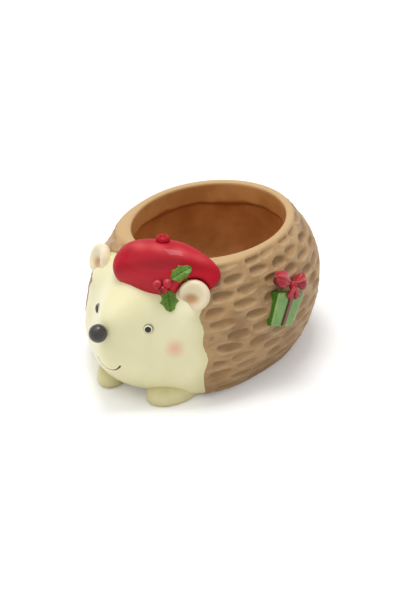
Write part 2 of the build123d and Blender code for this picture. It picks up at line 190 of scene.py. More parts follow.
class Graph:
    """A node tree with short calls to add and join its nodes."""

    def __init__(self, tree: NodeTree) -> None:
        """Keeps the tree that the nodes go into."""
        self.tree = tree

    def set(self, socket: NodeSocket, value: object) -> None:
        """Joins a socket to another one, or gives it a plain value.

        Args:
            socket: The socket.
            value: What it is joined or set to.
        """
        if isinstance(value, NodeSocket):
            self.tree.links.new(value, socket)
        else:
            socket.default_value = value.linear() if isinstance(value, Paint) else value

    def fill(self, node: Node, values: dict) -> None:
        """Joins or sets a node's inputs, by name or by number."""
        for name, value in values.items():
            self.set(node.inputs[name], value)

    def add(self, kind: str, values: dict | None = None, **settings: object) -> Node:
        """Adds a node.

        Args:
            kind: The node's type.
            values: What goes into its inputs, by name or by number.
            settings: Its own properties.

        Returns:
            The node.
        """
        node = self.tree.nodes.new(kind)
        for name, value in settings.items():
            setattr(node, name, value)
        self.fill(node, values or {})
        return node

    def math(self, operation: str, *values: object) -> NodeSocket:
        """A reckoning with one to three values.

        Args:
            operation: The node's operation.
            values: Its inputs.

        Returns:
            Its output.
        """
        node = self.add("ShaderNodeMath", operation=operation)
        for socket, value in zip(node.inputs, values):
            self.set(socket, value)
        return node.outputs[0]

    def times(self, first: object, *others: object) -> NodeSocket:
        """The product of two or more values."""
        for other in others:
            first = self.math("MULTIPLY", first, other)
        return first

    def minus(self, first: object, *others: object) -> NodeSocket:
        """The first value less all others."""
        for other in others:
            first = self.math("SUBTRACT", first, other)
        return first

    def line(self, value: object, slope: object, start: object) -> NodeSocket:
        """A value times a slope, plus a start."""
        return self.math("MULTIPLY_ADD", value, slope, start)

    def mix(self, share: object, first: object, second: object) -> NodeSocket:
        """A colour between two colours."""
        node = self.add("ShaderNodeMix", {0: share, 6: first, 7: second}, data_type="RGBA")
        return node.outputs[2]

    def step(self, value: object, low: float, high: float) -> NodeSocket:
        """A smooth step from 0 at low to 1 at high."""
        values = {"Value": value, "From Min": low, "From Max": high}
        return self.add("ShaderNodeMapRange", values, interpolation_type="SMOOTHSTEP").outputs[0]

    def vector(self, x: object, y: object, z: object) -> NodeSocket:
        """A vector from its three values."""
        return self.add("ShaderNodeCombineXYZ", {0: x, 1: y, 2: z}).outputs[0]

    def parts(self, vector: NodeSocket) -> NodeOutputs:
        """The three values of a vector."""
        return self.add("ShaderNodeSeparateXYZ", {0: vector}).outputs

    def place(self) -> NodeSocket:
        """Where a point of the object lies."""
        return self.add("ShaderNodeTexCoord").outputs["Object"]

    def noise(self, place: object, scale: object, detail: float, roughness: float = 0.5) -> Node:
        """Even noise with some waves a metre."""
        values = {"Vector": place, "Scale": scale, "Detail": detail, "Roughness": roughness}
        return self.add("ShaderNodeTexNoise", values)

    def seen(self) -> NodeSocket:
        """1 for rays of the camera, of reflections and through glass, 0 for the light itself."""
        rays = self.add("ShaderNodeLightPath").outputs
        mirrored = self.math("MAXIMUM", rays["Is Glossy Ray"], rays["Is Transmission Ray"])
        return self.math("MAXIMUM", rays["Is Camera Ray"], mirrored)

    def mask(self, name: str) -> NodeSocket:
        """A value that a material reads from the mesh."""
        return self.add("ShaderNodeAttribute", attribute_name=name).outputs["Fac"]

    def dress(self, geometry: NodeSocket, material: NodeSocket) -> None:
        """Ends geometry nodes in real, painted geometry.

        Args:
            geometry: What the nodes made.
            material: Its paint.
        """
        real = self.add("GeometryNodeRealizeInstances", {"Geometry": geometry}).outputs[0]
        dressed = self.add("GeometryNodeSetMaterial", {"Geometry": real, "Material": material})
        self.add("NodeGroupOutput", {"Geometry": dressed.outputs[0]})


def new_tree(name: str, kind: str, inputs: dict[str, str], outputs: dict[str, str]) -> NodeTree:
    """Makes an empty node group.

    Args:
        name: Its name.
        kind: Its type, Shader or Geometry.
        inputs: The type of each input, by name.
        outputs: The type of each output, by name.

    Returns:
        The group.
    """
    tree = bpy.data.node_groups.new(name, f"{kind}NodeTree")
    for way, sockets in (("INPUT", inputs), ("OUTPUT", outputs)):
        for socket, value_kind in sockets.items():
            tree.interface.new_socket(socket, in_out=way, socket_type=f"NodeSocket{value_kind}")
    return tree


def run_nodes(piece: Object, tree: NodeTree, values: dict[str, object]) -> None:
    """Runs geometry nodes on a piece and leaves a plain mesh.

    Args:
        piece: The piece.
        tree: The nodes.
        values: What goes into their inputs, by name.
    """
    modifier = piece.modifiers.new(tree.name, "NODES")
    modifier.node_group = tree
    for item in tree.interface.items_tree:
        if item.in_out == "INPUT" and item.name in values:
            modifier[item.identifier] = values[item.name]
    graph = bpy.context.evaluated_depsgraph_get()
    mesh = bpy.data.meshes.new_from_object(piece.evaluated_get(graph))
    piece.modifiers.remove(modifier)
    piece.data = mesh


def corners(piece: Object) -> Array:
    """The points of a piece, one a row."""
    return np.array([corner.co for corner in piece.data.vertices])


def add_mask(piece: Object, name: str, values: Array, spare: float = 0) -> None:
    """Stores one value for each point of a mesh.

    Args:
        piece: The piece.
        name: The mask's name.
        values: Its values, in the order of the points.
        spare: The value of the points that are left, such as poles or an underside.
    """
    full = np.full(len(piece.data.vertices), spare, np.float32)
    full[: values.size] = values.ravel()
    piece.data.attributes.new(name, "FLOAT", "POINT").data.foreach_set("value", full)


def link_object(name: str, data: bpy.types.ID) -> Object:
    """Puts an object with a mesh, lamp or camera at the origin."""
    item = bpy.data.objects.new(name, data)
    bpy.context.scene.collection.objects.link(item)
    return item


def link_mesh(name: str, points: Array, faces: list) -> Object:
    """Makes a smooth-shaded object whose faces point outwards.

    Args:
        name: The object's name.
        points: Its corners.
        faces: Corner numbers of each face.

    Returns:
        The object, at the origin.
    """
    mesh = bpy.data.meshes.new(name)
    mesh.from_pydata(points.tolist(), [], faces)
    work = bmesh.new()
    work.from_mesh(mesh)
    bmesh.ops.recalc_face_normals(work, faces=work.faces)
    work.to_mesh(mesh)
    work.free()
    mesh.polygons.foreach_set("use_smooth", [True] * len(mesh.polygons))
    return link_object(name, mesh)


def skin(name: str, rings: Array) -> Object:
    """A closed mesh over a stack of rings, with a pole at each end.

    Args:
        name: The object's name.
        rings: Points, by ring and by place on the ring.

    Returns:
        The object. Its first points are the rings', in order, and its last two the poles.
    """
    rows, columns = rings.shape[:2]
    points = np.vstack([rings.reshape(-1, 3), rings[0].mean(0), rings[-1].mean(0)])
    faces = []
    for row in range(rows - 1):
        for column in range(columns):
            here, beside = row * columns + column, row * columns + (column + 1) % columns
            faces.append((here, beside, beside + columns, here + columns))
    first, last, top = rows * columns, rows * columns + 1, (rows - 1) * columns
    for column in range(columns):
        beside = (column + 1) % columns
        faces.append((first, beside, column))
        faces.append((last, top + column, top + beside))
    return link_mesh(name, points, faces)


def slab(name: str, top: Array, bottom: Array) -> Object:
    """A closed sheet between two grids of points, stitched along its edge.

    Args:
        name: The object's name.
        top: Points of one face, by row and place.
        bottom: Points of the other face, in the same order.

    Returns:
        The object. Its first points are the top's, in order, and then the bottom's.
    """
    rows, columns = top.shape[:2]
    count = rows * columns
    faces = []
    for row in range(rows - 1):
        for column in range(columns - 1):
            here = row * columns + column
            faces.append((here, here + 1, here + columns + 1, here + columns))
            lower = count + here
            faces.append((lower, lower + columns, lower + columns + 1, lower + 1))
    rim = [row * columns for row in range(rows)]
    rim += [(rows - 1) * columns + column for column in range(1, columns)]
    rim += [row * columns + columns - 1 for row in range(rows - 2, -1, -1)]
    rim += list(range(columns - 2, 0, -1))
    for place, here in enumerate(rim):
        beside = rim[(place + 1) % len(rim)]
        faces.append((here, beside, count + beside, count + here))
    return link_mesh(name, np.vstack([top.reshape(-1, 3), bottom.reshape(-1, 3)]), faces)


def lathe(name: str, seat: Seat, profile: Array, columns: int, wobble: float = 0) -> Object:
    """A round piece about its seat's normal.

    Args:
        name: The object's name.
        seat: The plane that the piece stands on.
        profile: Radius and height of each ring.
        columns: Points on each ring.
        wobble: How far the outline strays from round, as a share.

    Returns:
        The object.
    """
    angles = circle(columns)
    stray = 1 + wobble * (np.sin(2 * angles + 0.7) + 0.6 * np.sin(3 * angles + 2.1))
    radii = profile[:, :1] * stray[None, :]
    rings = seat.at(radii * np.cos(angles), radii * np.sin(angles), profile[:, 1:] * np.ones(columns))
    return skin(name, rings)


def ball(radii: object, rows: int, pole: float, flat: float = 1) -> Array:
    """A ball's profile for a lathe.

    Args:
        radii: Its radius, or one for each row.
        rows: How many rings it has.
        pole: Angle between its poles and the first and last ring.
        flat: Its height, as a share.

    Returns:
        Radius and height of each ring.
    """
    angles = np.linspace(pole, pi - pole, rows)
    return np.stack([np.sin(angles), flat * np.cos(angles)], -1) * radii


def finish_piece(piece: Object, material: Material, slot: str, *nodes: str) -> None:
    """Dresses a piece, sets it on the body and lets it stand for its solids.

    Args:
        piece: The piece.
        material: Its finish.
        slot: Its material slot in the record. It is not used.
        nodes: The solids that it replaces.
    """
    piece.data.materials.clear()
    piece.data.materials.append(material)
    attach(piece, BODY)
    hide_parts(*nodes)
    LOG.info("%s: %d faces", piece.name, len(piece.data.polygons))


class Surface:
    """What rays meet: the faces of solids or of finished pieces."""

    def __init__(self, *pieces: Object) -> None:
        """Gathers the pieces' faces.

        Args:
            pieces: The solids or pieces.
        """
        points, faces = [], []
        for piece in pieces:
            start = len(points)
            points += [corner.co.copy() for corner in piece.data.vertices]
            faces += [[start + index for index in face.vertices] for face in piece.data.polygons]
        self.tree = BVHTree.FromPolygons(points, faces)

    def radii(self, angles: Array, heights: Array, inwards: bool = True) -> Array:
        """Distances from the upright axis to the surface.

        Args:
            angles: Directions about the axis, by place or by row and place.
            heights: Heights of the rows.
            inwards: Whether the rays look in from outside, or out from the axis.

        Returns:
            The radius at each row and angle.
        """
        directions = np.broadcast_to(angles, (len(heights), angles.shape[-1]))
        found = np.zeros(directions.shape)
        for row, height in enumerate(heights):
            for column, angle in enumerate(directions[row]):
                way = Vector((cos(angle), sin(angle), 0))
                start = way * (RAY_REACH if inwards else 0) + Vector((0, 0, height))
                hit = self.tree.ray_cast(start, -way if inwards else way)[0]
                found[row, column] = hit.to_2d().length if hit else 0
        return found

    def dropped(self, points: Array, way: Vector, lift: float) -> Array:
        """Points moved along a direction until they lie on the surface.

        Args:
            points: The points.
            way: The direction that points away from the surface.
            lift: How far out each ray starts.

        Returns:
            The points on the surface, or the points as they were where there is none.
        """
        found = points.copy()
        for number, point in enumerate(points):
            hit = self.tree.ray_cast(Vector(point) + way * lift, -way)[0]
            if hit is not None:
                found[number] = hit
        return found


def body_form() -> Surface:
    """The whole body's form, as the pot and the face show it together."""
    return Surface(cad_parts["pot_shell"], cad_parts["face_shell"])


def rim_level() -> float:
    """Height of the pot's rim."""
    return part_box("pot_shell")[1].z


def smoothed(grid: Array, passes: int, wrap: bool) -> Array:
    """Evens out a grid of radii, which takes away the facets of the solids.

    Args:
        grid: Radii by row and place.
        passes: How often each radius moves towards its neighbours.
        wrap: Whether the last place is beside the first.

    Returns:
        The even radii.
    """
    straight = {"mode": "reflect", "reflect_type": "odd"}
    for _ in range(passes):
        rows = np.pad(grid, ((1, 1), (0, 0)), **straight)
        grid = (rows[:-2] + 2 * rows[1:-1] + rows[2:]) / 4
        around = np.pad(grid, ((0, 0), (1, 1)), **({"mode": "wrap"} if wrap else straight))
        grid = (around[:, :-2] + 2 * around[:, 1:-1] + around[:, 2:]) / 4
    return grid


@dataclass(frozen=True)
class Seam:
    """The painted edge between the cream face and the brown body, seen along the flank.

    Args:
        front: How far the edge stands in front of the opening's centre.
        foot_back: How far it steps back at the foot.
        foot_height: Height over which it steps back.
        ear_back: How far it steps back under the ear.
        ear_height: Height of that step.
        ear_width: Half height of that step.
        far_bulge: How far the brown stands forward on the right side, under that ear.
        far_height: Height of that place.
        far_width: Half height of that place.
        far_back: How far it steps back behind the right ear.
        far_top: Height of that place.
        far_top_width: Half height of that place.
        sway: Size of the small waves.
        sway_length: Length of one wave.
        dive: How deep either skin goes under the other.
        dive_length: How long it takes to go under.
        lip: How far the brown edge stands proud.
        lip_width: Width of that lip.
    """

    front: float = 0.057
    foot_back: float = 0.0075
    foot_height: float = 0.010
    ear_back: float = 0.0034
    ear_height: float = 0.0605
    ear_width: float = 0.0042
    far_bulge: float = 0.0045
    far_height: float = 0.054
    far_width: float = 0.009
    far_back: float = 0.008
    far_top: float = 0.0675
    far_top_width: float = 0.0055
    sway: float = 0.0006
    sway_length: float = 0.017
    dive: float = 0.002
    dive_length: float = 0.0022
    lip: float = 0.0007
    lip_width: float = 0.0015

    def ahead(self, points: Array) -> Array:
        """How far each point lies in front of the painted edge.

        Args:
            points: The points.

        Returns:
            The distances, negative behind the edge.
        """
        height = points[..., 2]
        edge = self.front - self.foot_back * bump(height, self.foot_height)
        edge = edge - self.ear_back * bump(height - self.ear_height, self.ear_width)
        far = self.far_bulge * bump(height - self.far_height, self.far_width)
        far = far - self.far_back * bump(height - self.far_top, self.far_top_width)
        edge = edge + far * (points[..., 0] < 0)
        edge = edge + self.sway * np.sin(2 * pi * height / self.sway_length)
        return -edge - points[..., 1]

    def brown_offset(self, points: Array) -> Array:
        """How far the brown skin stands off the body's form.

        Args:
            points: The points.

        Returns:
            The offsets.
        """
        ahead = self.ahead(points)
        lip = self.lip * bump(ahead + self.lip_width, self.lip_width)
        return lip - self.dive * ease(ahead / self.dive_length)

    def cream_offset(self, points: Array) -> Array:
        """How far the cream skin stands off the body's form."""
        return -2 * self.dive * ease(-self.ahead(points) / self.dive_length / 2)


def add_wash_group() -> None:
    """Thin paint that a brush leaves uneven: broad blotches and level streaks."""
    inputs = {"Scale": "Float", "Stretch": "Float"}
    graph = Graph(new_tree("Hand Wash", "Shader", inputs, {"Blotch": "Float", "Streak": "Float"}))
    given = graph.add("NodeGroupInput").outputs
    place = graph.place()
    broad = graph.noise(place, given["Scale"], 4)
    parts = graph.parts(place)
    level = graph.vector(parts[0], parts[1], graph.times(parts[2], given["Stretch"]))
    streak = graph.noise(level, given["Scale"], 6, 0.65)
    masks = {"Blotch": graph.step(broad.outputs[0], 0.3, 0.7)}
    masks["Streak"] = graph.step(streak.outputs[0], 0.35, 0.68)
    graph.add("NodeGroupOutput", masks)


def add_grain_group() -> None:
    """Fine unevenness of cast resin under paint, as a height and as a change of gloss."""
    inputs = {"Scale": "Float", "Roughness": "Float"}
    graph = Graph(new_tree("Cast Grain", "Shader", inputs, {"Height": "Float", "Roughness": "Float"}))
    given = graph.add("NodeGroupInput").outputs
    place = graph.place()
    coarse = graph.noise(place, given["Scale"], 3)
    fine = graph.noise(place, graph.times(given["Scale"], 4.3), 2)
    change = graph.line(coarse.outputs[0], 0.2, -0.1)
    height = graph.line(fine.outputs[0], 0.3, coarse.outputs[0])
    roughness = graph.math("ADD", given["Roughness"], change)
    graph.add("NodeGroupOutput", {"Height": height, "Roughness": roughness})


@dataclass(frozen=True)
class Finish:
    """One painted finish.

    Args:
        name: The material's name.
        base: Its main colour.
        dark: Its colour in thick wash, and in painted shade and dark paint from the shade mask.
        light: Its colour in painted highlights and lighter rims, and where paint is rubbed or thin.
        roughness: How matt it is.
        gloss: Weight of the clear coat.
        coat_roughness: How matt that coat is.
        shine: Strength of its plain reflection.
        grain_scale: How fine its grain is, in waves a metre.
        grain_depth: How deep its grain is.
        wash_scale: How fine its blotches are, in waves a metre.
        wash_stretch: How much longer its streaks are than tall.
        wash_share: How strongly the blotches darken it.
        worn_share: How strongly the painted highlights and pale places lighten it.
    """

    name: str
    base: Paint
    dark: Paint
    light: Paint = Paint(255, 255, 255)
    roughness: float = 0.45
    gloss: float = 0.0
    coat_roughness: float = 0.15
    shine: float = 0.35
    grain_scale: float = 400
    grain_depth: float = 0.0001
    wash_scale: float = 70
    wash_stretch: float = 3.5
    wash_share: float = 0.45
    worn_share: float = 0.8

    def start(self) -> tuple[Graph, Node, Node, Material]:
        """Makes the material with its grain.

        Returns:
            Its graph, its shader, its wash and the material.
        """
        material = bpy.data.materials.new(self.name)
        material.use_nodes = True
        graph = Graph(material.node_tree)
        shader = material.node_tree.nodes["Principled BSDF"]
        graph.fill(shader, {"Coat Weight": self.gloss, "Coat Roughness": self.coat_roughness})
        graph.fill(shader, {"Specular IOR Level": self.shine})
        groups = bpy.data.node_groups
        values = {"Scale": self.grain_scale, "Roughness": self.roughness}
        grain = graph.add("ShaderNodeGroup", values, node_tree=groups["Cast Grain"]).outputs
        relief = {"Height": grain["Height"], "Distance": self.grain_depth, "Strength": 0.6}
        normal = graph.add("ShaderNodeBump", relief).outputs[0]
        graph.fill(shader, {"Roughness": grain["Roughness"], "Normal": normal})
        values = {"Scale": self.wash_scale, "Stretch": self.wash_stretch}
        wash = graph.add("ShaderNodeGroup", values, node_tree=groups["Hand Wash"])
        return graph, shader, wash, material

    def material(self) -> Material:
        """Paint that is darker in its wash and in painted shade, and lighter in painted highlights, as
        two masks of the mesh say.

        Returns:
            The material.
        """
        graph, shader, wash, material = self.start()
        thick = graph.times(wash.outputs["Blotch"], self.wash_share)
        colour = graph.mix(thick, self.base, self.dark)
        # Painted shade from the mesh's shade mask, with some dark paint such as a berry's blossom end.
        hollow = graph.step(graph.mask("hollow"), 0.1, 0.95)
        colour = graph.mix(hollow, colour, self.dark)
        # Painted highlights and lighter rims from the mesh's highlight mask.
        worn = graph.times(graph.mask("worn"), self.worn_share)
        graph.set(shader.inputs["Base Color"], graph.mix(worn, colour, self.light))
        return material


@dataclass(frozen=True)
class BodyFinish(Finish):
    """Brown body paint: dark wash in the gouges, pale dry brushing on the ridges, a painted shadow under
    the ledge and painted shade towards the foot.

    Args:
        inside: Paint of the planting space, painted lighter to stand in for the light that reaches into
            it.
        inside_dark: Paint of its hollows.
        rim: Paint of the rubbed rim.
        gouge: Paint at the bottom of a gouge.
        crack: Painted shadow under the ragged ledge.
        dry_share: How strongly the dry brushing shows.
        lip_share: How strongly it shows on the gouges' lips.
        crack_share: How dark the painted shadow under the ledge is.
        low_height: Height under which it is painted darker: thicker wash together with painted shade
            near the floor.
        low_share: How dark it gets at the foot.
    """

    # The planting space is painted lighter, as painted light for the light that reaches into it.
    inside: Paint = Paint(200, 144, 84)
    inside_dark: Paint = Paint(176, 118, 62)
    rim: Paint = Paint(192, 158, 111)
    gouge: Paint = Paint(138, 106, 66)
    # Painted shadow under the ragged ledge.
    crack: Paint = Paint(88, 50, 24)
    dry_share: float = 0.4
    lip_share: float = 0.6
    crack_share: float = 0.6
    # Painted shade towards the foot, together with thicker wash.
    low_height: float = 0.045
    low_share: float = 0.45

    def material(self) -> Material:
        """The body's paint.

        Returns:
            The material.
        """
        graph, shader, wash, material = self.start()
        colour = graph.mix(wash.outputs["Blotch"], self.base, self.dark)
        colour = graph.mix(graph.times(wash.outputs["Streak"], self.dry_share), colour, self.light)
        colour = graph.mix(graph.times(graph.mask("lip"), self.lip_share), colour, self.light)
        colour = graph.mix(graph.step(graph.mask("gouge"), 0.05, 1.1), colour, self.gouge)
        # Painted shade towards the foot, together with thicker wash.
        low = graph.step(graph.parts(graph.place())[2], self.low_height, 0)
        colour = graph.mix(graph.times(low, self.low_share), colour, self.gouge)
        colour = graph.mix(graph.mask("rim"), colour, self.rim)
        well = graph.mix(wash.outputs["Blotch"], self.inside, self.inside_dark)
        # Painted shadow: a dark ragged line under the ledge.
        well = graph.mix(graph.times(graph.mask("ledge"), self.crack_share), well, self.crack)
        colour = graph.mix(graph.mask("inside"), colour, well)
        graph.set(shader.inputs["Base Color"], colour)
        return material


@dataclass(frozen=True)
class FaceFinish(Finish):
    """Cream head paint with two blushed cheeks, a thin painted smile, and painted shade with thicker
    wash towards the foot and along the edge to the body.

    Args:
        blush: Paint of the cheeks.
        blush_middle: Middle of the left cheek.
        blush_radius: Where the blush ends.
        near_share: Strength of the left cheek's blush.
        far_share: Strength of the right cheek's blush.
        middle_blend: Half width over which one strength changes to the other.
        smile: Paint of the smile.
        smile_half_width: Half width of the smile.
        smile_height: Height of its lowest point.
        smile_rise: How far its ends rise.
        smile_line: Half thickness of the line at its ends.
        smile_hair: Its least half thickness.
        foot_height: Height under which it is painted darker: thicker wash together with painted shade
            near the floor.
        edge_share: How strongly it darkens along the painted edge: darker wash together with painted
            shade where the cream goes under the brown lip.
    """

    blush: Paint = Paint(228, 168, 138)
    blush_middle: Place = (0.0308, -0.0690, 0.0374)
    blush_radius: float = 0.0075
    near_share: float = 0.75
    far_share: float = 0.2
    middle_blend: float = 0.001
    smile: Paint = Paint(42, 37, 27)
    smile_half_width: float = 0.0080
    smile_height: float = 0.0222
    smile_rise: float = 0.0050
    smile_line: float = 0.00062
    smile_hair: float = 0.00002
    foot_height: float = 0.03
    edge_share: float = 0.6

    def smile_mask(self, graph: Graph, parts: NodeOutputs) -> NodeSocket:
        """Where the smile's line lies: an arc seen from the front.

        Args:
            graph: The material's graph.
            parts: Where a point lies, as three values.

        Returns:
            The mask.
        """
        radius = (self.smile_half_width**2 + self.smile_rise**2) / (2 * self.smile_rise)
        drop = graph.minus(parts[2], self.smile_height + radius)
        flat = graph.vector(parts[0], drop, 0)
        reach = graph.add("ShaderNodeVectorMath", {0: flat}, operation="LENGTH").outputs["Value"]
        away = graph.math("ABSOLUTE", graph.minus(reach, radius))
        rise = graph.minus(parts[2], self.smile_height)
        thick = graph.step(rise, -self.smile_rise, self.smile_rise)
        half = graph.line(thick, self.smile_line, self.smile_hair)
        line = graph.minus(1, graph.step(graph.math("DIVIDE", away, half), 0.5, 1))
        ends = graph.step(rise, self.smile_rise * 1.06, self.smile_rise)
        return graph.times(line, ends)

    def material(self) -> Material:
        """The head's paint.

        Returns:
            The material.
        """
        graph, shader, wash, material = self.start()
        parts = graph.parts(graph.place())
        # Darker towards the foot and along the edge to the body: thicker wash together with painted
        # shade.
        foot = graph.step(parts[2], self.foot_height, 0)
        thick = graph.times(graph.math("ADD", foot, wash.outputs["Blotch"]), self.wash_share)
        colour = graph.mix(thick, self.base, self.dark)
        colour = graph.mix(graph.times(graph.mask("edge"), self.edge_share), colour, self.dark)
        pair = graph.vector(graph.math("ABSOLUTE", parts[0]), parts[1], parts[2])
        away = graph.add("ShaderNodeVectorMath", {0: pair, 1: self.blush_middle}, operation="DISTANCE")
        red = graph.step(away.outputs["Value"], self.blush_radius, 0)
        left = graph.step(parts[0], -self.middle_blend, self.middle_blend)
        strength = graph.line(left, self.near_share - self.far_share, self.far_share)
        colour = graph.mix(graph.times(red, strength), colour, self.blush)
        colour = graph.mix(self.smile_mask(graph, parts), colour, self.smile)
        graph.set(shader.inputs["Base Color"], colour)
        return material


@dataclass(frozen=True)
class EyeFinish(Finish):
    """Eye paint: a thin grey outline, a pale ring and a black pupil.

    Args:
        pupil: Share of the eye's radius that the pupil takes.
        ring: Share where the pale ring ends.
        blur: Width over which one colour changes to the next, as a share.
    """

    pupil: float = 0.6
    ring: float = 0.84
    blur: float = 0.06

    def material(self) -> Material:
        """The eye's paint.

        Returns:
            The material.
        """
        graph, shader, _, material = self.start()
        share = graph.mask("share")
        colour = graph.mix(graph.step(share, self.pupil, self.pupil + self.blur), self.dark, self.light)
        colour = graph.mix(graph.step(share, self.ring, self.ring + self.blur), colour, self.base)
        graph.set(shader.inputs["Base Color"], colour)
        return material


def make_finishes() -> dict[str, Material]:
    """Makes every finish of the planter once.

    Returns:
        The materials by name.
    """
    add_wash_group()
    add_grain_group()
    finishes = {
        "brown_body": BodyFinish(
            "Brown Body Paint", Paint(172, 135, 90), Paint(144, 110, 70), Paint(204, 174, 132),
            roughness=0.5, grain_scale=300, grain_depth=0.0002, wash_scale=60,
        ),
        "cream_face": FaceFinish(
            "Cream Head Paint", Paint(237, 231, 191), Paint(212, 204, 152),
            roughness=0.38, gloss=0.15, wash_scale=26, wash_share=0.4,
        ),
        "cream_ear": Finish(
            "Cream Ear Paint", Paint(238, 228, 194), Paint(186, 144, 98), Paint(246, 234, 208),
            roughness=0.4, gloss=0.15, wash_scale=5,
        ),
        "cream_paw": Finish(
            "Cream Paw Paint", Paint(212, 202, 148), Paint(176, 163, 98), Paint(232, 225, 184),
            roughness=0.38, gloss=0.15, wash_scale=60,
        ),
        "nose": Finish(
            "Nose Paint", Paint(50, 45, 42), Paint(30, 27, 26), Paint(120, 114, 108),
            roughness=0.28, gloss=0.4, grain_scale=900, grain_depth=0.00012, wash_scale=500,
        ),
        # The far eye: a larger pupil, and an outline and ring darker than the near eye's, as painted
        # shade.
        "far_eye": EyeFinish(
            "Far Eye Paint", Paint(96, 92, 78), Paint(14, 14, 13), Paint(180, 176, 150),
            roughness=0.4, gloss=0.15, pupil=0.86, ring=0.93,
        ),
        "eye": EyeFinish(
            "Eye Paint", Paint(132, 128, 106), Paint(12, 12, 11), Paint(226, 222, 192),
            roughness=0.3, gloss=0.3,
        ),
        "red_beret": Finish(
            "Beret Red", Paint(180, 10, 34), Paint(140, 4, 18), Paint(232, 104, 104),
            roughness=0.5, gloss=0.22, shine=0.04, coat_roughness=0.1, wash_scale=45,
        ),
        "leaf_green": Finish(
            "Leaf Green", Paint(94, 132, 34), Paint(46, 84, 16), Paint(150, 172, 84),
            roughness=0.4, gloss=0.3, shine=0.15, wash_scale=200,
        ),
        "berry_red": Finish(
            "Berry Red", Paint(190, 30, 46), Paint(116, 10, 24), Paint(226, 104, 108),
            roughness=0.35, gloss=0.3, shine=0.15, wash_scale=260,
        ),
        "gift_green": Finish(
            "Gift Green", Paint(112, 156, 66), Paint(58, 106, 24), Paint(158, 186, 116),
            roughness=0.25, gloss=0.5, wash_scale=160,
        ),
        "ribbon_brown": Finish(
            "Ribbon Brown", Paint(136, 72, 62), Paint(78, 34, 26), Paint(170, 104, 96),
            roughness=0.4, gloss=0.2, wash_scale=240,
        ),
        "bow_red": Finish(
            "Bow Red", Paint(184, 34, 48), Paint(96, 4, 16), Paint(222, 104, 108),
            roughness=0.42, gloss=0.3, shine=0.2, wash_scale=220,
        ),
    }
    return {name: finish.material() for name, finish in finishes.items()}


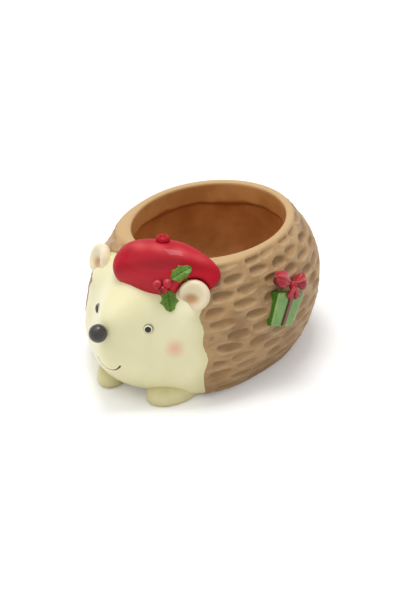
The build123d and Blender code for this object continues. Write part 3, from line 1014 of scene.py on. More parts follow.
@dataclass(frozen=True)
class GougeCut:
    """Staggered rows of level gouges, each blunt towards the face and drawn out at its other end.

    Args:
        row_spacing: Length up the flank for one row.
        per_turn: Gouges in a row.
        radius: Radius at which lengths around are measured.
        half_length: Half a gouge's length, as a share of its pitch.
        half_height: Half its height.
        depth: How deep it is cut.
        lip: How far its lower edge is pushed up.
        stray: How far a gouge stands off its place, as a share of its pitch.
        drift: How far it stands off its row.
        slope: Degrees that it may slope.
        row_beat: Step of the unevenness from row to row.
        place_beat: Step of the unevenness from gouge to gouge.
        wander: How far the edges waver.
        wander_scale: How fine that wavering is, in waves a metre.
        row_shift: How far whole rows stand off their stagger, as a share of the pitch.
        blunt_power: How the blunt end grows, sooner the smaller it is.
        drawn_power: How the drawn-out end tapers.
        swell: Factor that makes up for both, so that the middle has the full height.
        least_height: Half height at which the taper stops.
    """

    row_spacing: float = 0.0078
    per_turn: float = 21
    radius: float = 0.058
    half_length: float = 0.44
    half_height: float = 0.0029
    depth: float = 0.0014
    lip: float = 0.0004
    stray: float = 0.1
    drift: float = 0.00088
    slope: float = 5
    row_beat: float = 1.9
    place_beat: float = 2.7
    wander: float = 0.0009
    wander_scale: float = 150
    row_shift: float = 0.18
    blunt_power: float = 0.36
    drawn_power: float = 0.62
    swell: float = 1.95
    least_height: float = 0.0001

    def inputs(self) -> dict[str, float]:
        """The tree's named sizes: every field, with the slope in radians."""
        sizes = {size.name.replace("_", " ").title(): getattr(self, size.name) for size in fields(self)}
        return {**sizes, "Slope": radians(self.slope)}

    def tree(self) -> NodeTree:
        """The geometry nodes that cut the gouges into a skin with around and rise on it.

        Returns:
            The tree.
        """
        inputs = {"Geometry": "Geometry", **dict.fromkeys(self.inputs(), "Float"), "Paint": "Material"}
        graph = Graph(new_tree("Gouges", "Geometry", inputs, {"Geometry": "Geometry"}))
        given = graph.add("NodeGroupInput").outputs
        around, rise = self.strayed(graph, given)
        cut, lip = self.profile(graph, *self.cells(graph, given, around, rise))
        flank = self.named(graph, "flank")
        cut, lip = graph.times(cut, flank), graph.times(lip, flank)
        push = graph.minus(graph.times(lip, given["Lip"]), graph.times(cut, given["Depth"]))
        normal = graph.add("GeometryNodeInputNormal").outputs[0]
        move = graph.add("ShaderNodeVectorMath", {0: normal, "Scale": push}, operation="SCALE")
        skin_out = given["Geometry"]
        for name, value in (("gouge", cut), ("lip", lip)):
            values = {"Geometry": skin_out, "Name": name, "Value": value}
            kinds = {"data_type": "FLOAT", "domain": "POINT"}
            skin_out = graph.add("GeometryNodeStoreNamedAttribute", values, **kinds).outputs[0]
        values = {"Geometry": skin_out, "Offset": move.outputs[0]}
        graph.dress(graph.add("GeometryNodeSetPosition", values).outputs[0], given["Paint"])
        return graph.tree

    def named(self, graph: Graph, name: str) -> NodeSocket:
        """A value that the mesh carries."""
        node = graph.add("GeometryNodeInputNamedAttribute", {"Name": name}, data_type="FLOAT")
        return node.outputs["Attribute"]

    def strayed(self, graph: Graph, given: object) -> tuple:
        """Where each point lies along and up the flank, with the hand's unsteadiness.

        Args:
            graph: The tree's graph.
            given: The tree's inputs.

        Returns:
            The length along and the length up.
        """
        place = graph.add("GeometryNodeInputPosition").outputs[0]
        parts = graph.parts(graph.noise(place, given["Wander Scale"], 2).outputs["Color"])
        moved = []
        for name, part in (("around", parts[0]), ("rise", parts[1])):
            stray = graph.times(graph.minus(part, 0.5), given["Wander"])
            moved.append(graph.line(stray, 2, self.named(graph, name)))
        return moved[0], moved[1]

    def cells(self, graph: Graph, given: object, around: object, rise: object) -> tuple:
        """Splits the flank into cells of one gouge.

        Args:
            graph: The tree's graph.
            given: The tree's inputs.
            around: Length around the body.
            rise: Length up the flank.

        Returns:
            How far from the gouge's middle line a point lies, as a share of its half height, the
            gouge's own depth there, and a window that closes at the row's edges.
        """
        rows = graph.math("DIVIDE", rise, given["Row Spacing"])
        number = graph.minus(graph.math("FLOOR", rows), 1)
        beat = graph.times(number, given["Row Beat"])
        odd = graph.math("FLOORED_MODULO", number, 2)
        shift = graph.line(graph.math("SINE", beat), given["Row Shift"], graph.times(odd, 0.5))
        turn = graph.math("DIVIDE", around, given["Radius"])
        quarters = graph.line(turn, 1 / (2 * pi), -0.25)
        places = graph.line(quarters, given["Per Turn"], shift)
        nearest = graph.math("FLOOR", graph.math("ADD", places, 0.5))
        place = graph.math("FLOORED_MODULO", nearest, given["Per Turn"])
        phase = graph.line(place, given["Place Beat"], beat)
        chance = [graph.math("SINE", graph.math("ADD", phase, turned)) for turned in (0, 2, 4, 6, 8)]
        off = graph.minus(places, nearest, graph.times(chance[0], given["Stray"]))
        half = graph.times(given["Half Length"], graph.line(chance[4], 0.08, 1))
        side = graph.math("SIGN", graph.minus(pi, turn))
        along = graph.math("DIVIDE", graph.times(off, side), graph.times(half, 2))
        along = graph.math("MINIMUM", graph.math("MAXIMUM", graph.math("ADD", along, 0.5), 0), 1)
        blunt = graph.math("POWER", along, given["Blunt Power"])
        drawn = graph.math("POWER", graph.minus(1, along), given["Drawn Power"])
        swell = graph.line(chance[4], -0.25, given["Swell"])
        tall = graph.times(given["Half Height"], graph.times(blunt, drawn), swell)
        slope = graph.times(chance[2], given["Slope"])
        pitch = graph.math("DIVIDE", graph.times(given["Radius"], 2 * pi), given["Per Turn"])
        lean = graph.times(slope, graph.times(off, pitch))
        height = graph.minus(graph.math("FRACT", rows), 0.5)
        window = graph.step(graph.math("ABSOLUTE", height), 0.5, 0.44)
        drift = graph.times(chance[1], given["Drift"])
        up = graph.minus(graph.times(height, given["Row Spacing"]), lean, drift)
        across = graph.math("DIVIDE", up, graph.math("MAXIMUM", tall, given["Least Height"]))
        strength = graph.line(chance[3], 0.2, 1)
        strength = graph.times(strength, graph.line(along, -0.35, 1.1))
        ends = graph.times(graph.step(along, 0, 0.07), graph.step(along, 1, 0.72))
        return across, graph.times(strength, ends), window

    def profile(self, graph: Graph, across: object, strength: object, window: object) -> tuple:
        """A cut with a steep upper edge, a soft lower side and a pushed-up lower lip.

        Args:
            graph: The tree's graph.
            across: Distance from the gouge's middle line, as a share.
            strength: The gouge's own depth.
            window: What closes it at the row's edges.

        Returns:
            The cut and the lip.
        """
        upper = graph.step(across, 1.05, 0.55)
        lower = graph.step(across, -1.1, 0.45)
        ridge = graph.times(graph.step(across, -1.6, -1.15), graph.step(across, -0.7, -1.1))
        return graph.times(upper, lower, strength, window), graph.times(ridge, strength, window)

    def apply(self, piece: Object, material: Material) -> None:
        """Cuts the gouges into a piece and leaves a plain mesh."""
        run_nodes(piece, self.tree(), {**self.inputs(), "Paint": material})


@dataclass
class PotBody:
    """The brown pot: gouged outside, rounded rim, collar, ledge and bowl.

    Args:
        seam: The painted edge to the face.
        columns: Points around.
        outer_rows: Rows of the outside.
        foot_round: Rounding of the foot's edge.
        rim_top: Height over the rows where the rim's rounding starts.
        collar_depth: Depth of the collar.
        ledge_reach: How far from the ledge the inside is ragged.
        ragged: How uneven the ledge is.
        crack_width: Half height of the painted shadow line under it.
        floor_height: Height of the bowl's floor.
        floor_lift: How far the visual floor lies over it.
        flank_fade: Width over which the gouges fade at the rim and the foot.
        seam_gap: How far behind the painted edge they start.
        seam_fade: Width over which they fade there.
        rim_blend: Width over which the rim's paint ends.
        outside_passes: How often the outside is smoothed.
        inside_passes: How often the inside is smoothed.
    """

    seam: Seam
    columns: int = 384
    outer_rows: int = 122
    foot_round: float = 0.0012
    rim_top: float = 0.001
    collar_depth: float = 0.013
    ledge_reach: float = 0.004
    ragged: float = 0.0009
    crack_width: float = 0.0012
    floor_height: float = 0.018
    floor_lift: float = 0.0003
    flank_fade: float = 0.002
    seam_gap: float = 0.0012
    seam_fade: float = 0.003
    rim_blend: float = 0.0014
    outside_passes: int = 10
    inside_passes: int = 2

    def heights(self, surface: Surface, top: float) -> Array:
        """Heights whose rows are about equally long apart along the flank.

        Args:
            surface: The body's form.
            top: Height of the rim.

        Returns:
            The heights.
        """
        trial = np.linspace(self.foot_round / 2, top - self.rim_top, 160)
        radii = surface.radii(np.array([0.0]), trial)[:, 0]
        length = np.concatenate([[0], np.cumsum(np.hypot(np.diff(trial), np.diff(radii)))])
        return np.interp(np.linspace(0, length[-1], self.outer_rows), length, trial)

    def outer(self, surface: Surface, angles: Array, heights: Array) -> Array:
        """Radii of the outside, with the painted edge's step."""
        radii = smoothed(surface.radii(angles, heights), self.outside_passes, True)
        return radii + self.seam.brown_offset(about_axis(angles, radii, heights[:, None]))

    def inner(self, top: float) -> tuple[Array, Array]:
        """Heights of the inside's rows, and how far each follows the ragged ledge.

        Args:
            top: Height of the rim.

        Returns:
            Both, one value a row.
        """
        ledge = top - self.collar_depth
        collar = np.linspace(top - 2 * self.rim_top, ledge + 0.0002, 14)
        bowl = np.linspace(ledge - 0.0004, self.floor_height + 0.0015, 40)
        heights = np.concatenate([collar, bowl])
        return heights, bump(heights - ledge, self.ledge_reach)

    def rows(self) -> tuple[Array, dict[str, Array]]:
        """All rows from the foot's middle over the rim to the bowl's floor.

        Returns:
            The rings and the masks on them.
        """
        outside, inside = body_form(), Surface(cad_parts["pot_shell"])
        top = rim_level()
        angles = circle(self.columns)
        heights = self.heights(outside, top)
        outer = self.outer(outside, angles, heights)
        inner_heights, near_ledge = self.inner(top)
        inner = smoothed(inside.radii(angles, inner_heights, inwards=False), self.inside_passes, True)
        ragged = np.sin(5 * angles) + 0.8 * np.sin(11 * angles + 1) + 0.6 * np.sin(23 * angles + 4)
        drop = self.ragged * near_ledge[:, None] * ragged[None, :] / 2
        foot = outer[0] - self.foot_round
        rings = [(foot * share, 0, "foot", 0) for share in (0.4, 0.75, 0.95, 1)]
        rings.append((outer[0] - self.foot_round / 4, self.foot_round / 5, "foot", 0))
        rise = np.concatenate([[0], np.cumsum(np.hypot(np.diff(heights), np.diff(outer[:, 0])))])
        rings += [(outer[row], height, "flank", rise[row]) for row, height in enumerate(heights)]
        middle, half = (outer[-1] + inner[0]) / 2, (outer[-1] - inner[0]) / 2
        for turn in pi * np.arange(1, 8) / 8:
            level = top - self.rim_top * (1 - sin(turn))
            rings.append((middle + half * cos(turn), level, "rim", rise[-1]))
        levels = inner_heights[:, None] + drop
        rings += [(radius, level, "inside", 0) for radius, level in zip(inner, levels)]
        floor, shares = self.floor_height + self.floor_lift, (0.97, 0.9, 0.7, 0.45, 0.2)
        rings += [(inner[-1] * share, floor, "inside", 0) for share in shares]
        radii, levels, kinds, rises = zip(*rings)
        heights = np.array([level + 0 * angles for level in levels])
        points = about_axis(angles, np.array(radii), heights)
        return points, self.masks(points, np.array(kinds), np.array(rises), rise[-1], angles)

    def masks(
        self, points: Array, kinds: Array, rises: Array, length: float, angles: Array
    ) -> dict[str, Array]:
        """What the gouges and the paint read from the mesh.

        Args:
            points: The rings.
            kinds: What each ring belongs to.
            rises: How far up the flank each lies.
            length: Length of the whole flank.
            angles: Angles of the points.

        Returns:
            The masks by name.
        """
        flank, rim, inside = (1.0 * (kinds == kind) for kind in ("flank", "rim", "inside"))
        edge = np.minimum(ease(rises / self.flank_fade), ease((length - rises) / self.flank_fade))
        behind = ease(-(self.seam.ahead(points) + self.seam_gap) / self.seam_fade)
        rim = np.maximum(rim, flank * ease((rises - length + self.rim_blend) / self.rim_blend))
        # Painted shadow: a wavy dark line just under the ledge.
        below = points[..., 2] - (rim_level() - self.collar_depth)
        line = bump(below + self.crack_width * (1 + np.sin(7 * angles)), self.crack_width)
        along = ((angles + pi / 2) % (2 * pi)) * GougeCut.radius
        full = np.ones((len(kinds), self.columns))
        return {
            "around": full * along,
            "rise": full * rises[:, None],
            "flank": behind * (flank * edge)[:, None],
            "rim": full * rim[:, None],
            "inside": full * inside[:, None],
            "ledge": line * inside[:, None],
        }

    def build(self, material: Material) -> None:
        """Makes the pot's visual piece.

        Args:
            material: Its paint.
        """
        points, masks = self.rows()
        piece = skin("pot_body", points)
        for name, values in masks.items():
            ends = [0, 0] if name == "around" else [values[0].mean(), values[-1].mean()]
            add_mask(piece, name, np.append(values, ends))
        GougeCut().apply(piece, material)
        finish_piece(piece, material, "brown_body", "pot_shell")


@dataclass
class Head:
    """The cream head: a closed sheet over the front of the body's form, with a soft root for each ear.

    Args:
        seam: The painted edge to the body.
        half_turn: Degrees to each side of the front that the skin reaches.
        columns: Points across the front.
        rows: Rows from the foot up.
        top_drop: How far under the rim it ends.
        wall: Its thickness.
        foot_round: Rounding of the foot's edge.
        ear_root: Middle of the left ear's root.
        root_rise: How far the root stands out.
        root_width: Half width of the root.
        root_blend: How far from the painted edge the root is full.
        wash_width: Width of the darker band along that edge: darker wash together with painted shade.
        passes: How often the form is smoothed.
    """

    seam: Seam
    half_turn: float = 47
    columns: int = 190
    rows: int = 130
    top_drop: float = 0.002
    wall: float = 0.0016
    foot_round: float = 0.001
    ear_root: Place = (0.0305, -0.0600, 0.0585)
    root_rise: float = 0.0018
    root_width: float = 0.0088
    root_blend: float = 0.003
    wash_width: float = 0.006
    passes: int = 24

    def build(self, material: Material) -> Object:
        """Makes the head's visual piece.

        Args:
            material: Its paint.

        Returns:
            The piece.
        """
        turn = radians(self.half_turn)
        angles = np.linspace(-pi / 2 - turn, -pi / 2 + turn, self.columns)
        heights = np.linspace(self.foot_round, rim_level() - self.top_drop, self.rows)
        form = smoothed(body_form().radii(angles, heights), self.passes, False)
        heights = np.concatenate([[0], heights])[:, None]
        form = np.vstack([form[:1] - self.foot_round, form])
        front = about_axis(angles, form, heights)
        pair = np.concatenate([np.abs(front[..., :1]), front[..., 1:]], -1)
        away = np.linalg.norm(pair - np.array(self.ear_root), axis=-1)
        ahead = self.seam.ahead(front)
        root = self.root_rise * bump(away, self.root_width) * ease(ahead / self.root_blend)
        outer = form + self.seam.cream_offset(front) + root
        inner = np.minimum(form, outer) - self.wall
        piece = slab("head", about_axis(angles, outer, heights), about_axis(angles, inner, heights))
        # Painted shade with darker wash along the edge to the brown body.
        add_mask(piece, "edge", 1 - ease(ahead / self.wash_width))
        finish_piece(piece, material, "cream_face", "face_shell")
        return piece


@dataclass
class Ear:
    """A round dished ear on a flared root.

    Args:
        side: Which ear it is.
        radius: Radius of the disc.
        thickness: Its thickness.
        dish: Depth of its dish.
        middle: Place of the left ear's middle.
        turn: Degrees that it faces outwards.
        lean: Degrees that it leans back.
        root: Length of its flared root.
        dish_shift: How far the dish lies in and down.
        sink: How far its lower inner side sinks in.
        rim_share: Share of the radius that the rolled rim takes.
        flare_share: How much wider the root's end is, as a share of the radius.
        inner_way: Direction of its lower inner side, towards the other ear and down.
        flattened: How much flatter the rim is there, as a share.
        wobble: How far its outline strays from round, as a share.
        tan_place: Where the dish's darker tan is thickest, in and down, as shares of the radius: tan
            paint together with painted shade in the dish.
    """

    side: Side
    radius: float = 0.0089
    thickness: float = 0.0062
    dish: float = 0.0024
    middle: Place = (0.0333, -0.0558, 0.0657)
    turn: float = 30
    lean: float = 20
    root: float = 0.0045
    dish_shift: float = 0.0004
    sink: float = 0.0010
    rim_share: float = 0.2
    flare_share: float = 0.24
    inner_way: tuple[float, float] = (0.75, 0.66)
    flattened: float = 0.4
    wobble: float = 0.012
    tan_place: tuple[float, float] = (0.12, 0.16)

    def seat(self) -> Seat:
        """The plane through the ear's middle."""
        return paired_seat(self.side, self.middle, self.turn, self.lean)

    def profile(self) -> Array:
        """Radius and height of each ring, from the dish's middle over the rim to the root.

        Returns:
            The profile, one ring a row.
        """
        half, edge = self.thickness / 2, 1 - self.rim_share
        dish = np.linspace(0.03, edge, 24)
        floor = half - self.dish * (0.5 + 0.5 * np.cos(pi * dish / edge))
        rim = np.linspace(0, pi, 20)[1:]
        flare = np.linspace(0, 1, 8)[1:]
        shares = [dish, edge + self.rim_share * np.sin(rim), edge + self.flare_share * flare**2]
        heights = [floor, half * np.cos(rim), -half - self.root * flare]
        return np.stack([np.concatenate(shares) * self.radius, np.concatenate(heights)], -1)

    def settle(self, piece: Object, seat: Seat) -> None:
        """Moves the dish in and down, and lets the rim's lower inner side sink into the head.

        Args:
            piece: The ear.
            seat: The plane that it was built on.
        """
        local = seat.local(corners(piece))
        x, y, z = local.T
        share = np.hypot(x, y) / self.radius
        middle = np.clip(1 - share**2, 0, 1) * (z > 0)
        inner = (-self.inner_way[0] * self.side.value * x - self.inner_way[1] * y) / self.radius
        x = x - self.side.value * self.dish_shift * middle
        y = y - 0.8 * self.dish_shift * middle
        z = z - self.flattened * np.clip(z, 0, None) * ease((inner - 0.3) / 0.5)
        z = z - self.sink * ease((inner - 0.05) / 0.95)
        piece.data.vertices.foreach_set("co", seat.at(x, y, z).astype(np.float32).ravel())
        piece.data.update()

    def build(self, material: Material) -> None:
        """Makes the ear's visual piece.

        Args:
            material: Its paint.
        """
        seat = self.seat()
        name = self.side.node("ear")
        piece = lathe(f"{name}_skin", seat, self.profile(), 72, self.wobble)
        x, y, z = seat.local(corners(piece)).T / self.radius
        self.settle(piece, seat)
        out, share = x * self.side.value, np.hypot(x, y)
        # The dish is darker low and inwards: tan paint together with painted shade.
        across, up = out + self.tan_place[0], y + self.tan_place[1]
        away = np.hypot(0.8 * across + 0.3 * up, 1.15 * up - 0.2 * across)
        inner = (0.35 * (1 - ease(away / 0.85)) + 0.65 * bump(away, 0.42)) * (z > 0)
        # Darker on the outer edge of the rim, towards its outer upper side.
        edge = 0.34 * bump(share - 0.92, 0.14) * ease((out + y + 0.5) / 0.8)
        add_mask(piece, "hollow", np.maximum(inner, edge))
        # Painted highlight: lighter all round the rim.
        add_mask(piece, "worn", ease((share - 0.6) / 0.2) * 0.35)
        finish_piece(piece, material, "cream_face", name)


@dataclass
class Nose:
    """The ball of the nose, a little flattened.

    Args:
        radius: Its radius.
        place: Its middle.
    """

    radius: float = 0.0052
    place: Place = (0.0, -0.0972, 0.0488)

    def build(self, material: Material) -> None:
        """Makes the nose's visual piece.

        Args:
            material: Its paint.
        """
        seat = Seat(Vector(self.place), Vector((1, 0, 0)), Vector((0, -1, 0)))
        piece = lathe("nose_ball", seat, ball(self.radius, 40, 0.03), 64, 0.006)
        finish_piece(piece, material, "black_gloss", "nose")


@dataclass
class Eye:
    """A low painted dome.

    Args:
        side: Which eye it is.
        radius: Radius of its edge.
        proud: How far it stands out.
        middle: Place of the left eye on the face.
        turn: Degrees that it faces outwards.
        lean: Degrees that it leans back.
        settle: How far the dome lies in the face.
        root: How far its skirt goes in.
        skirt: Where the skirt starts, as a share of the radius.
    """

    side: Side
    radius: float = 0.0028
    proud: float = 0.0015
    middle: Place = (0.018, -0.0764, 0.0485)
    turn: float = 35
    lean: float = 8
    settle: float = 0.0004
    root: float = 0.0015
    skirt: float = 1.06

    def build(self, material: Material) -> None:
        """Makes the eye's visual piece.

        Args:
            material: Its paint.
        """
        share = np.linspace(0.02, self.skirt, 26)
        height = self.proud * np.sqrt(np.clip(1.1 - share**2, 0, 1)) - self.settle
        profile = np.stack([share, height / self.radius], -1) * self.radius
        profile = np.vstack([profile, [[self.radius * self.skirt, -self.root]]])
        name = self.side.node("eye")
        seat = paired_seat(self.side, self.middle, self.turn, self.lean)
        piece = lathe(f"{name}_dome", seat, profile, 56)
        local = seat.local(corners(piece))
        add_mask(piece, "share", np.hypot(local[:, 0], local[:, 1]) / self.radius)
        finish_piece(piece, material, "black_gloss", name)


@dataclass
class Paw:
    """A front paw: a smooth lobe whose top and back lie inside the cheek.

    Args:
        side: Which paw it is.
        half_width: Half its width.
        half_length: Half its length.
        out: How far it stands from the middle.
        front: How far its middle stands ahead.
        toe_in: Degrees that its toe turns in.
        height: Height of the lobe.
    """

    side: Side
    half_width: float
    half_length: float
    out: float
    front: float
    toe_in: float
    height: float = 0.015

    def build(self, material: Material) -> None:
        """Makes the paw's visual piece.

        Args:
            material: Its paint.
        """
        sign = self.side.value
        turn = radians(sign * self.toe_in)
        right = Vector((cos(turn), -sin(turn), 0))
        seat = Seat(Vector((sign * self.out, -self.front, 0)), right, Vector((0, 0, 1)))
        share = np.concatenate([[0, 0.02, 0.06], np.linspace(0.12, 0.97, 26)])
        foot = 0.9 + 0.1 * np.sqrt(np.clip(share / 0.14, 0, 1))
        dome = (1 - np.clip((share - 0.2) / 0.82, 0, 1) ** 2.3) ** 0.6
        size = foot * dome
        angles = circle(72)
        x = self.half_width * size[:, None] * np.cos(angles)
        y = self.half_length * size[:, None] * np.sin(angles)
        name = self.side.node("paw")
        piece = skin(f"{name}_lobe", seat.at(x, y, self.height * share[:, None]))
        local = seat.local(corners(piece))
        away = np.hypot(local[:, 0] / self.half_width, local[:, 1] / self.half_length)
        # Darker in a ring about the middle, lighter along the outer edge above the floor.
        add_mask(piece, "hollow", 0.8 * bump(away - 0.35, 0.45))
        add_mask(piece, "worn", 0.4 * ease((away - 0.85) / 0.14) * ease(local[:, 2] / 0.003))
        finish_piece(piece, material, "cream_face", name)


PAWS = (
    Paw(Side.LEFT, half_width=0.0109, half_length=0.017, out=0.022, front=0.060, toe_in=12),
    Paw(Side.RIGHT, half_width=0.0094, half_length=0.018, out=0.0175, front=0.0624, toe_in=21),
)


@dataclass
class Beret:
    """A puffed beret that lies tilted over the forehead, with its stalk.

    Args:
        ear: The near ear, which it gives way to.
        middle: Its middle.
        yaw: Degrees that it turns.
        tilt: Degrees that it tips forward.
        half_sizes: Half its length, width and thickness.
        ear_gap: How far it stays behind the ear.
        stalk_shares: Where the stalk stands, as shares of the half length and half width.
        stalk_radius: The stalk's radius.
        stalk_height: How far it stands out.
        ear_share: Where the ear starts to press it in, as a share of the ear's radius.
        ear_blend: Width over which that pressing ends.
        pinch_width: Half width of the painted shade line across the stalk's top.
    """

    ear: Ear
    middle: Place = (0.0124, -0.0533, 0.0738)
    yaw: float = 22.4
    tilt: float = 30.5
    half_sizes: Place = (0.0303, 0.0175, 0.0111)
    ear_gap: float = 0.0003
    stalk_shares: tuple[float, float] = (-0.14, 0.74)
    stalk_radius: float = 0.0038
    stalk_height: float = 0.0034
    ear_share: float = 0.86
    ear_blend: float = 0.004
    pinch_width: float = 0.0007

    def seat(self) -> Seat:
        """The plane through the beret's widest line."""
        yaw, tilt = radians(self.yaw), radians(self.tilt)
        out = Vector((sin(yaw) * sin(tilt), -cos(yaw) * sin(tilt), cos(tilt)))
        return Seat(Vector(self.middle), sideways(self.yaw), out)

    def build(self, material: Material) -> Object:
        """Makes the beret's visual piece.

        Args:
            material: Its paint.

        Returns:
            The piece.
        """
        length, width, thick = self.half_sizes
        down = np.linspace(0.02, pi - 0.02, 100)[:, None]
        around = circle(180)
        x = np.sin(down) * np.cos(around)
        y = np.sin(down) * np.sin(around)
        z = np.cos(down) * np.ones_like(around)
        valley = bump(y + 0.12 - 0.18 * x * x, 0.28) * ease((z - 0.1) / 0.5)
        crown = bump(y - 0.45, 0.35) * bump(x + 0.1, 0.8) * ease(z / 0.6)
        folds = bump(x - self.stalk_shares[0], 0.3) * np.sin(9 * x + 2 * y) * ease((y - 0.25) / 0.5)
        hem = bump(z + 0.15, 0.12) * np.sin(around * 3 + 1)
        swell = 1 - 0.05 * valley + 0.04 * crown + 0.012 * folds * ease(z / 0.4) + 0.006 * hem
        left = np.clip(-x, 0, 0.999)
        blunt = np.clip((1 - left**2.4) ** (1 / 2.4) / np.sqrt(1 - left**2), 1, 1.2)
        y, z = y * blunt, z * blunt
        right_end = ease((x - 0.05) / 0.9)
        front = ease(-y / 0.5)
        corner = 0.11 * bump(x + 0.66, 0.3)
        wide = 1 - 0.2 * right_end * (1 - front) - front * (corner + 0.08 * bump(x - 0.1, 0.4))
        tall = 1 - 0.26 * right_end * ease((z + 0.3) / 0.6) + 0.06 * bump(x + 0.7, 0.3)
        points = self.seat().at(x * length * swell, y * width * swell * wide, z * thick * swell * tall)
        piece = skin("beret_cap", self.behind_ear(points))
        # Painted highlights: milky streaks over the crown and a lighter band along the front edge.
        streak = 0.6 + 0.4 * np.sin(5 * x + 3 * y) * np.sin(11 * x - 2)
        worn = 0.85 * crown * bump(y - 0.36, 0.2) * streak + 0.2 * bump(y + 0.8, 0.3)
        add_mask(piece, "worn", worn)
        # Painted shade: a dark band across the middle, standing in for the fold's shade and a dark
        # reflection in the coat.
        band = 0.8 * bump(y + 0.2 - 0.3 * x, 0.32) * ease((z + 0.1) / 0.4) * (0.8 + 0.2 * np.cos(3 * x))
        add_mask(piece, "hollow", band)
        finish_piece(piece, material, "red_beret", "beret")
        return piece

    def behind_ear(self, points: Array) -> Array:
        """Presses the beret in where the ear stands.

        Args:
            points: The beret's points.

        Returns:
            The points, pressed in.
        """
        seat = self.ear.seat()
        local = seat.local(points)
        away = np.hypot(local[..., 0], local[..., 1])
        limit = -self.ear.thickness / 2 - self.ear_gap
        near = 1 - ease((away - self.ear.radius * self.ear_share) / self.ear_blend)
        local[..., 2] -= near * np.maximum(local[..., 2] - limit, 0)
        return seat.at(local[..., 0], local[..., 1], local[..., 2])

    def build_stalk(self, material: Material) -> None:
        """Makes the stalk: a short knob with a dished top and a painted shade line across it.

        Args:
            material: Its paint.
        """
        length, width, thick = self.half_sizes
        x, y = self.stalk_shares
        foot = self.seat().at(length * x, width * y, thick * sqrt(1 - x * x - y * y))
        seat = Seat(Vector(foot), Vector((1, 0, 0)), Vector((0, 0, 1)))
        wide = [1.2, 1.14, 1.02, 0.97, 1.0, 1.0, 0.94, 0.8, 0.6, 0.45, 0.3, 0.15, 0.04]
        tall = [-1.1, -0.5, -0.15, 0.1, 0.35, 0.55, 0.74, 0.9, 0.94, 0.86, 0.7, 0.62, 0.6]
        profile = np.stack([wide, tall], -1) * [self.stalk_radius, self.stalk_height]
        piece = lathe("beret_knob", seat, profile, 48, 0.03)
        local = seat.local(corners(piece))
        # Painted shade: a short dark line across the top, standing in for a pinch.
        pinch_shade = bump(local[:, 0] - 0.25 * local[:, 1], self.pinch_width)
        pinch_shade = pinch_shade * ease(local[:, 2] / self.stalk_height)
        add_mask(piece, "hollow", pinch_shade * bump(local[:, 1] + 0.001, 0.002))
        finish_piece(piece, material, "red_beret", "beret_stalk")


@dataclass
class HollyLeaf:
    """A toothed leaf that lies on what is under it.

    Args:
        name: Its node.
        base: Where its stem starts.
        tip: Where it ends.
        turn: Degrees that it faces outwards.
        lean: Degrees that it leans back.
        half_width: Half its width between the teeth's points.
        thickness: Its thickness.
        lift: How far its edges curl up.
        tooth_depth: How far it draws in between its teeth, as a share.
        point: Half width of its stem and tip.
        vein_depth: Depth of its veins.
        buried: How far its underside lies in what is under it.
        search: How far above that the rays start.
        passes: How often the ground is smoothed.
    """

    name: str
    base: Place
    tip: Place
    turn: float
    lean: float
    half_width: float = 0.0056
    thickness: float = 0.0009
    lift: float = 0.0007
    tooth_depth: float = 0.28
    point: float = 0.0003
    vein_depth: float = 0.00028
    buried: float = 0.0008
    search: float = 0.012
    passes: int = 6

    def build(self, under: Surface, material: Material) -> None:
        """Makes the leaf's visual piece.

        Args:
            under: What it lies on.
            material: Its paint.
        """
        base, tip = Vector(self.base), Vector(self.tip)
        out = outward(self.turn, self.lean)
        seat = Seat((base + tip) / 2, tip - base, out)
        length = (tip - base).length
        along = np.linspace(0, 1, 61)[:, None]
        across = np.linspace(-1, 1, 25)[None, :]
        arcs = 1 - self.tooth_depth * np.abs(np.sin(pi * (3 * along + 0.25))) ** 0.8
        half = self.half_width * np.sin(pi * np.clip(along, 0.015, 0.985)) ** 0.6 * arcs
        x = (along - 0.5) * length + 0 * across
        y = np.maximum(half, self.point) * across
        flat = seat.at(x, y, 0 * x)
        ground = under.dropped(flat.reshape(-1, 3), out, self.search).reshape(flat.shape)
        height = smoothed(seat.local(ground)[..., 2], self.passes, False)
        vein = bump(across, 0.1) + 0.6 * bump(((along * 5 - np.abs(across) * 1.2) % 1) - 0.5, 0.13)
        rise = self.thickness + self.lift * np.abs(across) ** 2 - self.vein_depth * vein
        rise = rise * (1 - 0.75 * ease((np.abs(across) - 0.8) / 0.2))
        bottom = seat.at(x, y * 0.96, height - self.buried)
        piece = slab(f"{self.name}_blade", seat.at(x, y, height + rise), bottom)
        # Darker in the veins and over the whole underside, lighter towards the edges.
        add_mask(piece, "hollow", np.clip(vein * 0.7, 0, 1), spare=1)
        add_mask(piece, "worn", 0.35 * (ease((np.abs(across) - 0.72) / 0.25) + 0 * along))
        finish_piece(piece, material, "leaf_green", self.name)


LEAVES = (
    HollyLeaf(
        "holly_leaf_upper",
        base=(0.0232, -0.0630, 0.0755),
        tip=(0.0293, -0.0530, 0.0808),
        turn=33,
        lean=40,
        half_width=0.0050,
    ),
    HollyLeaf(
        "holly_leaf_lower",
        base=(0.0230, -0.0663, 0.0700),
        tip=(0.0256, -0.0662, 0.0580),
        turn=33,
        lean=20,
    ),
)


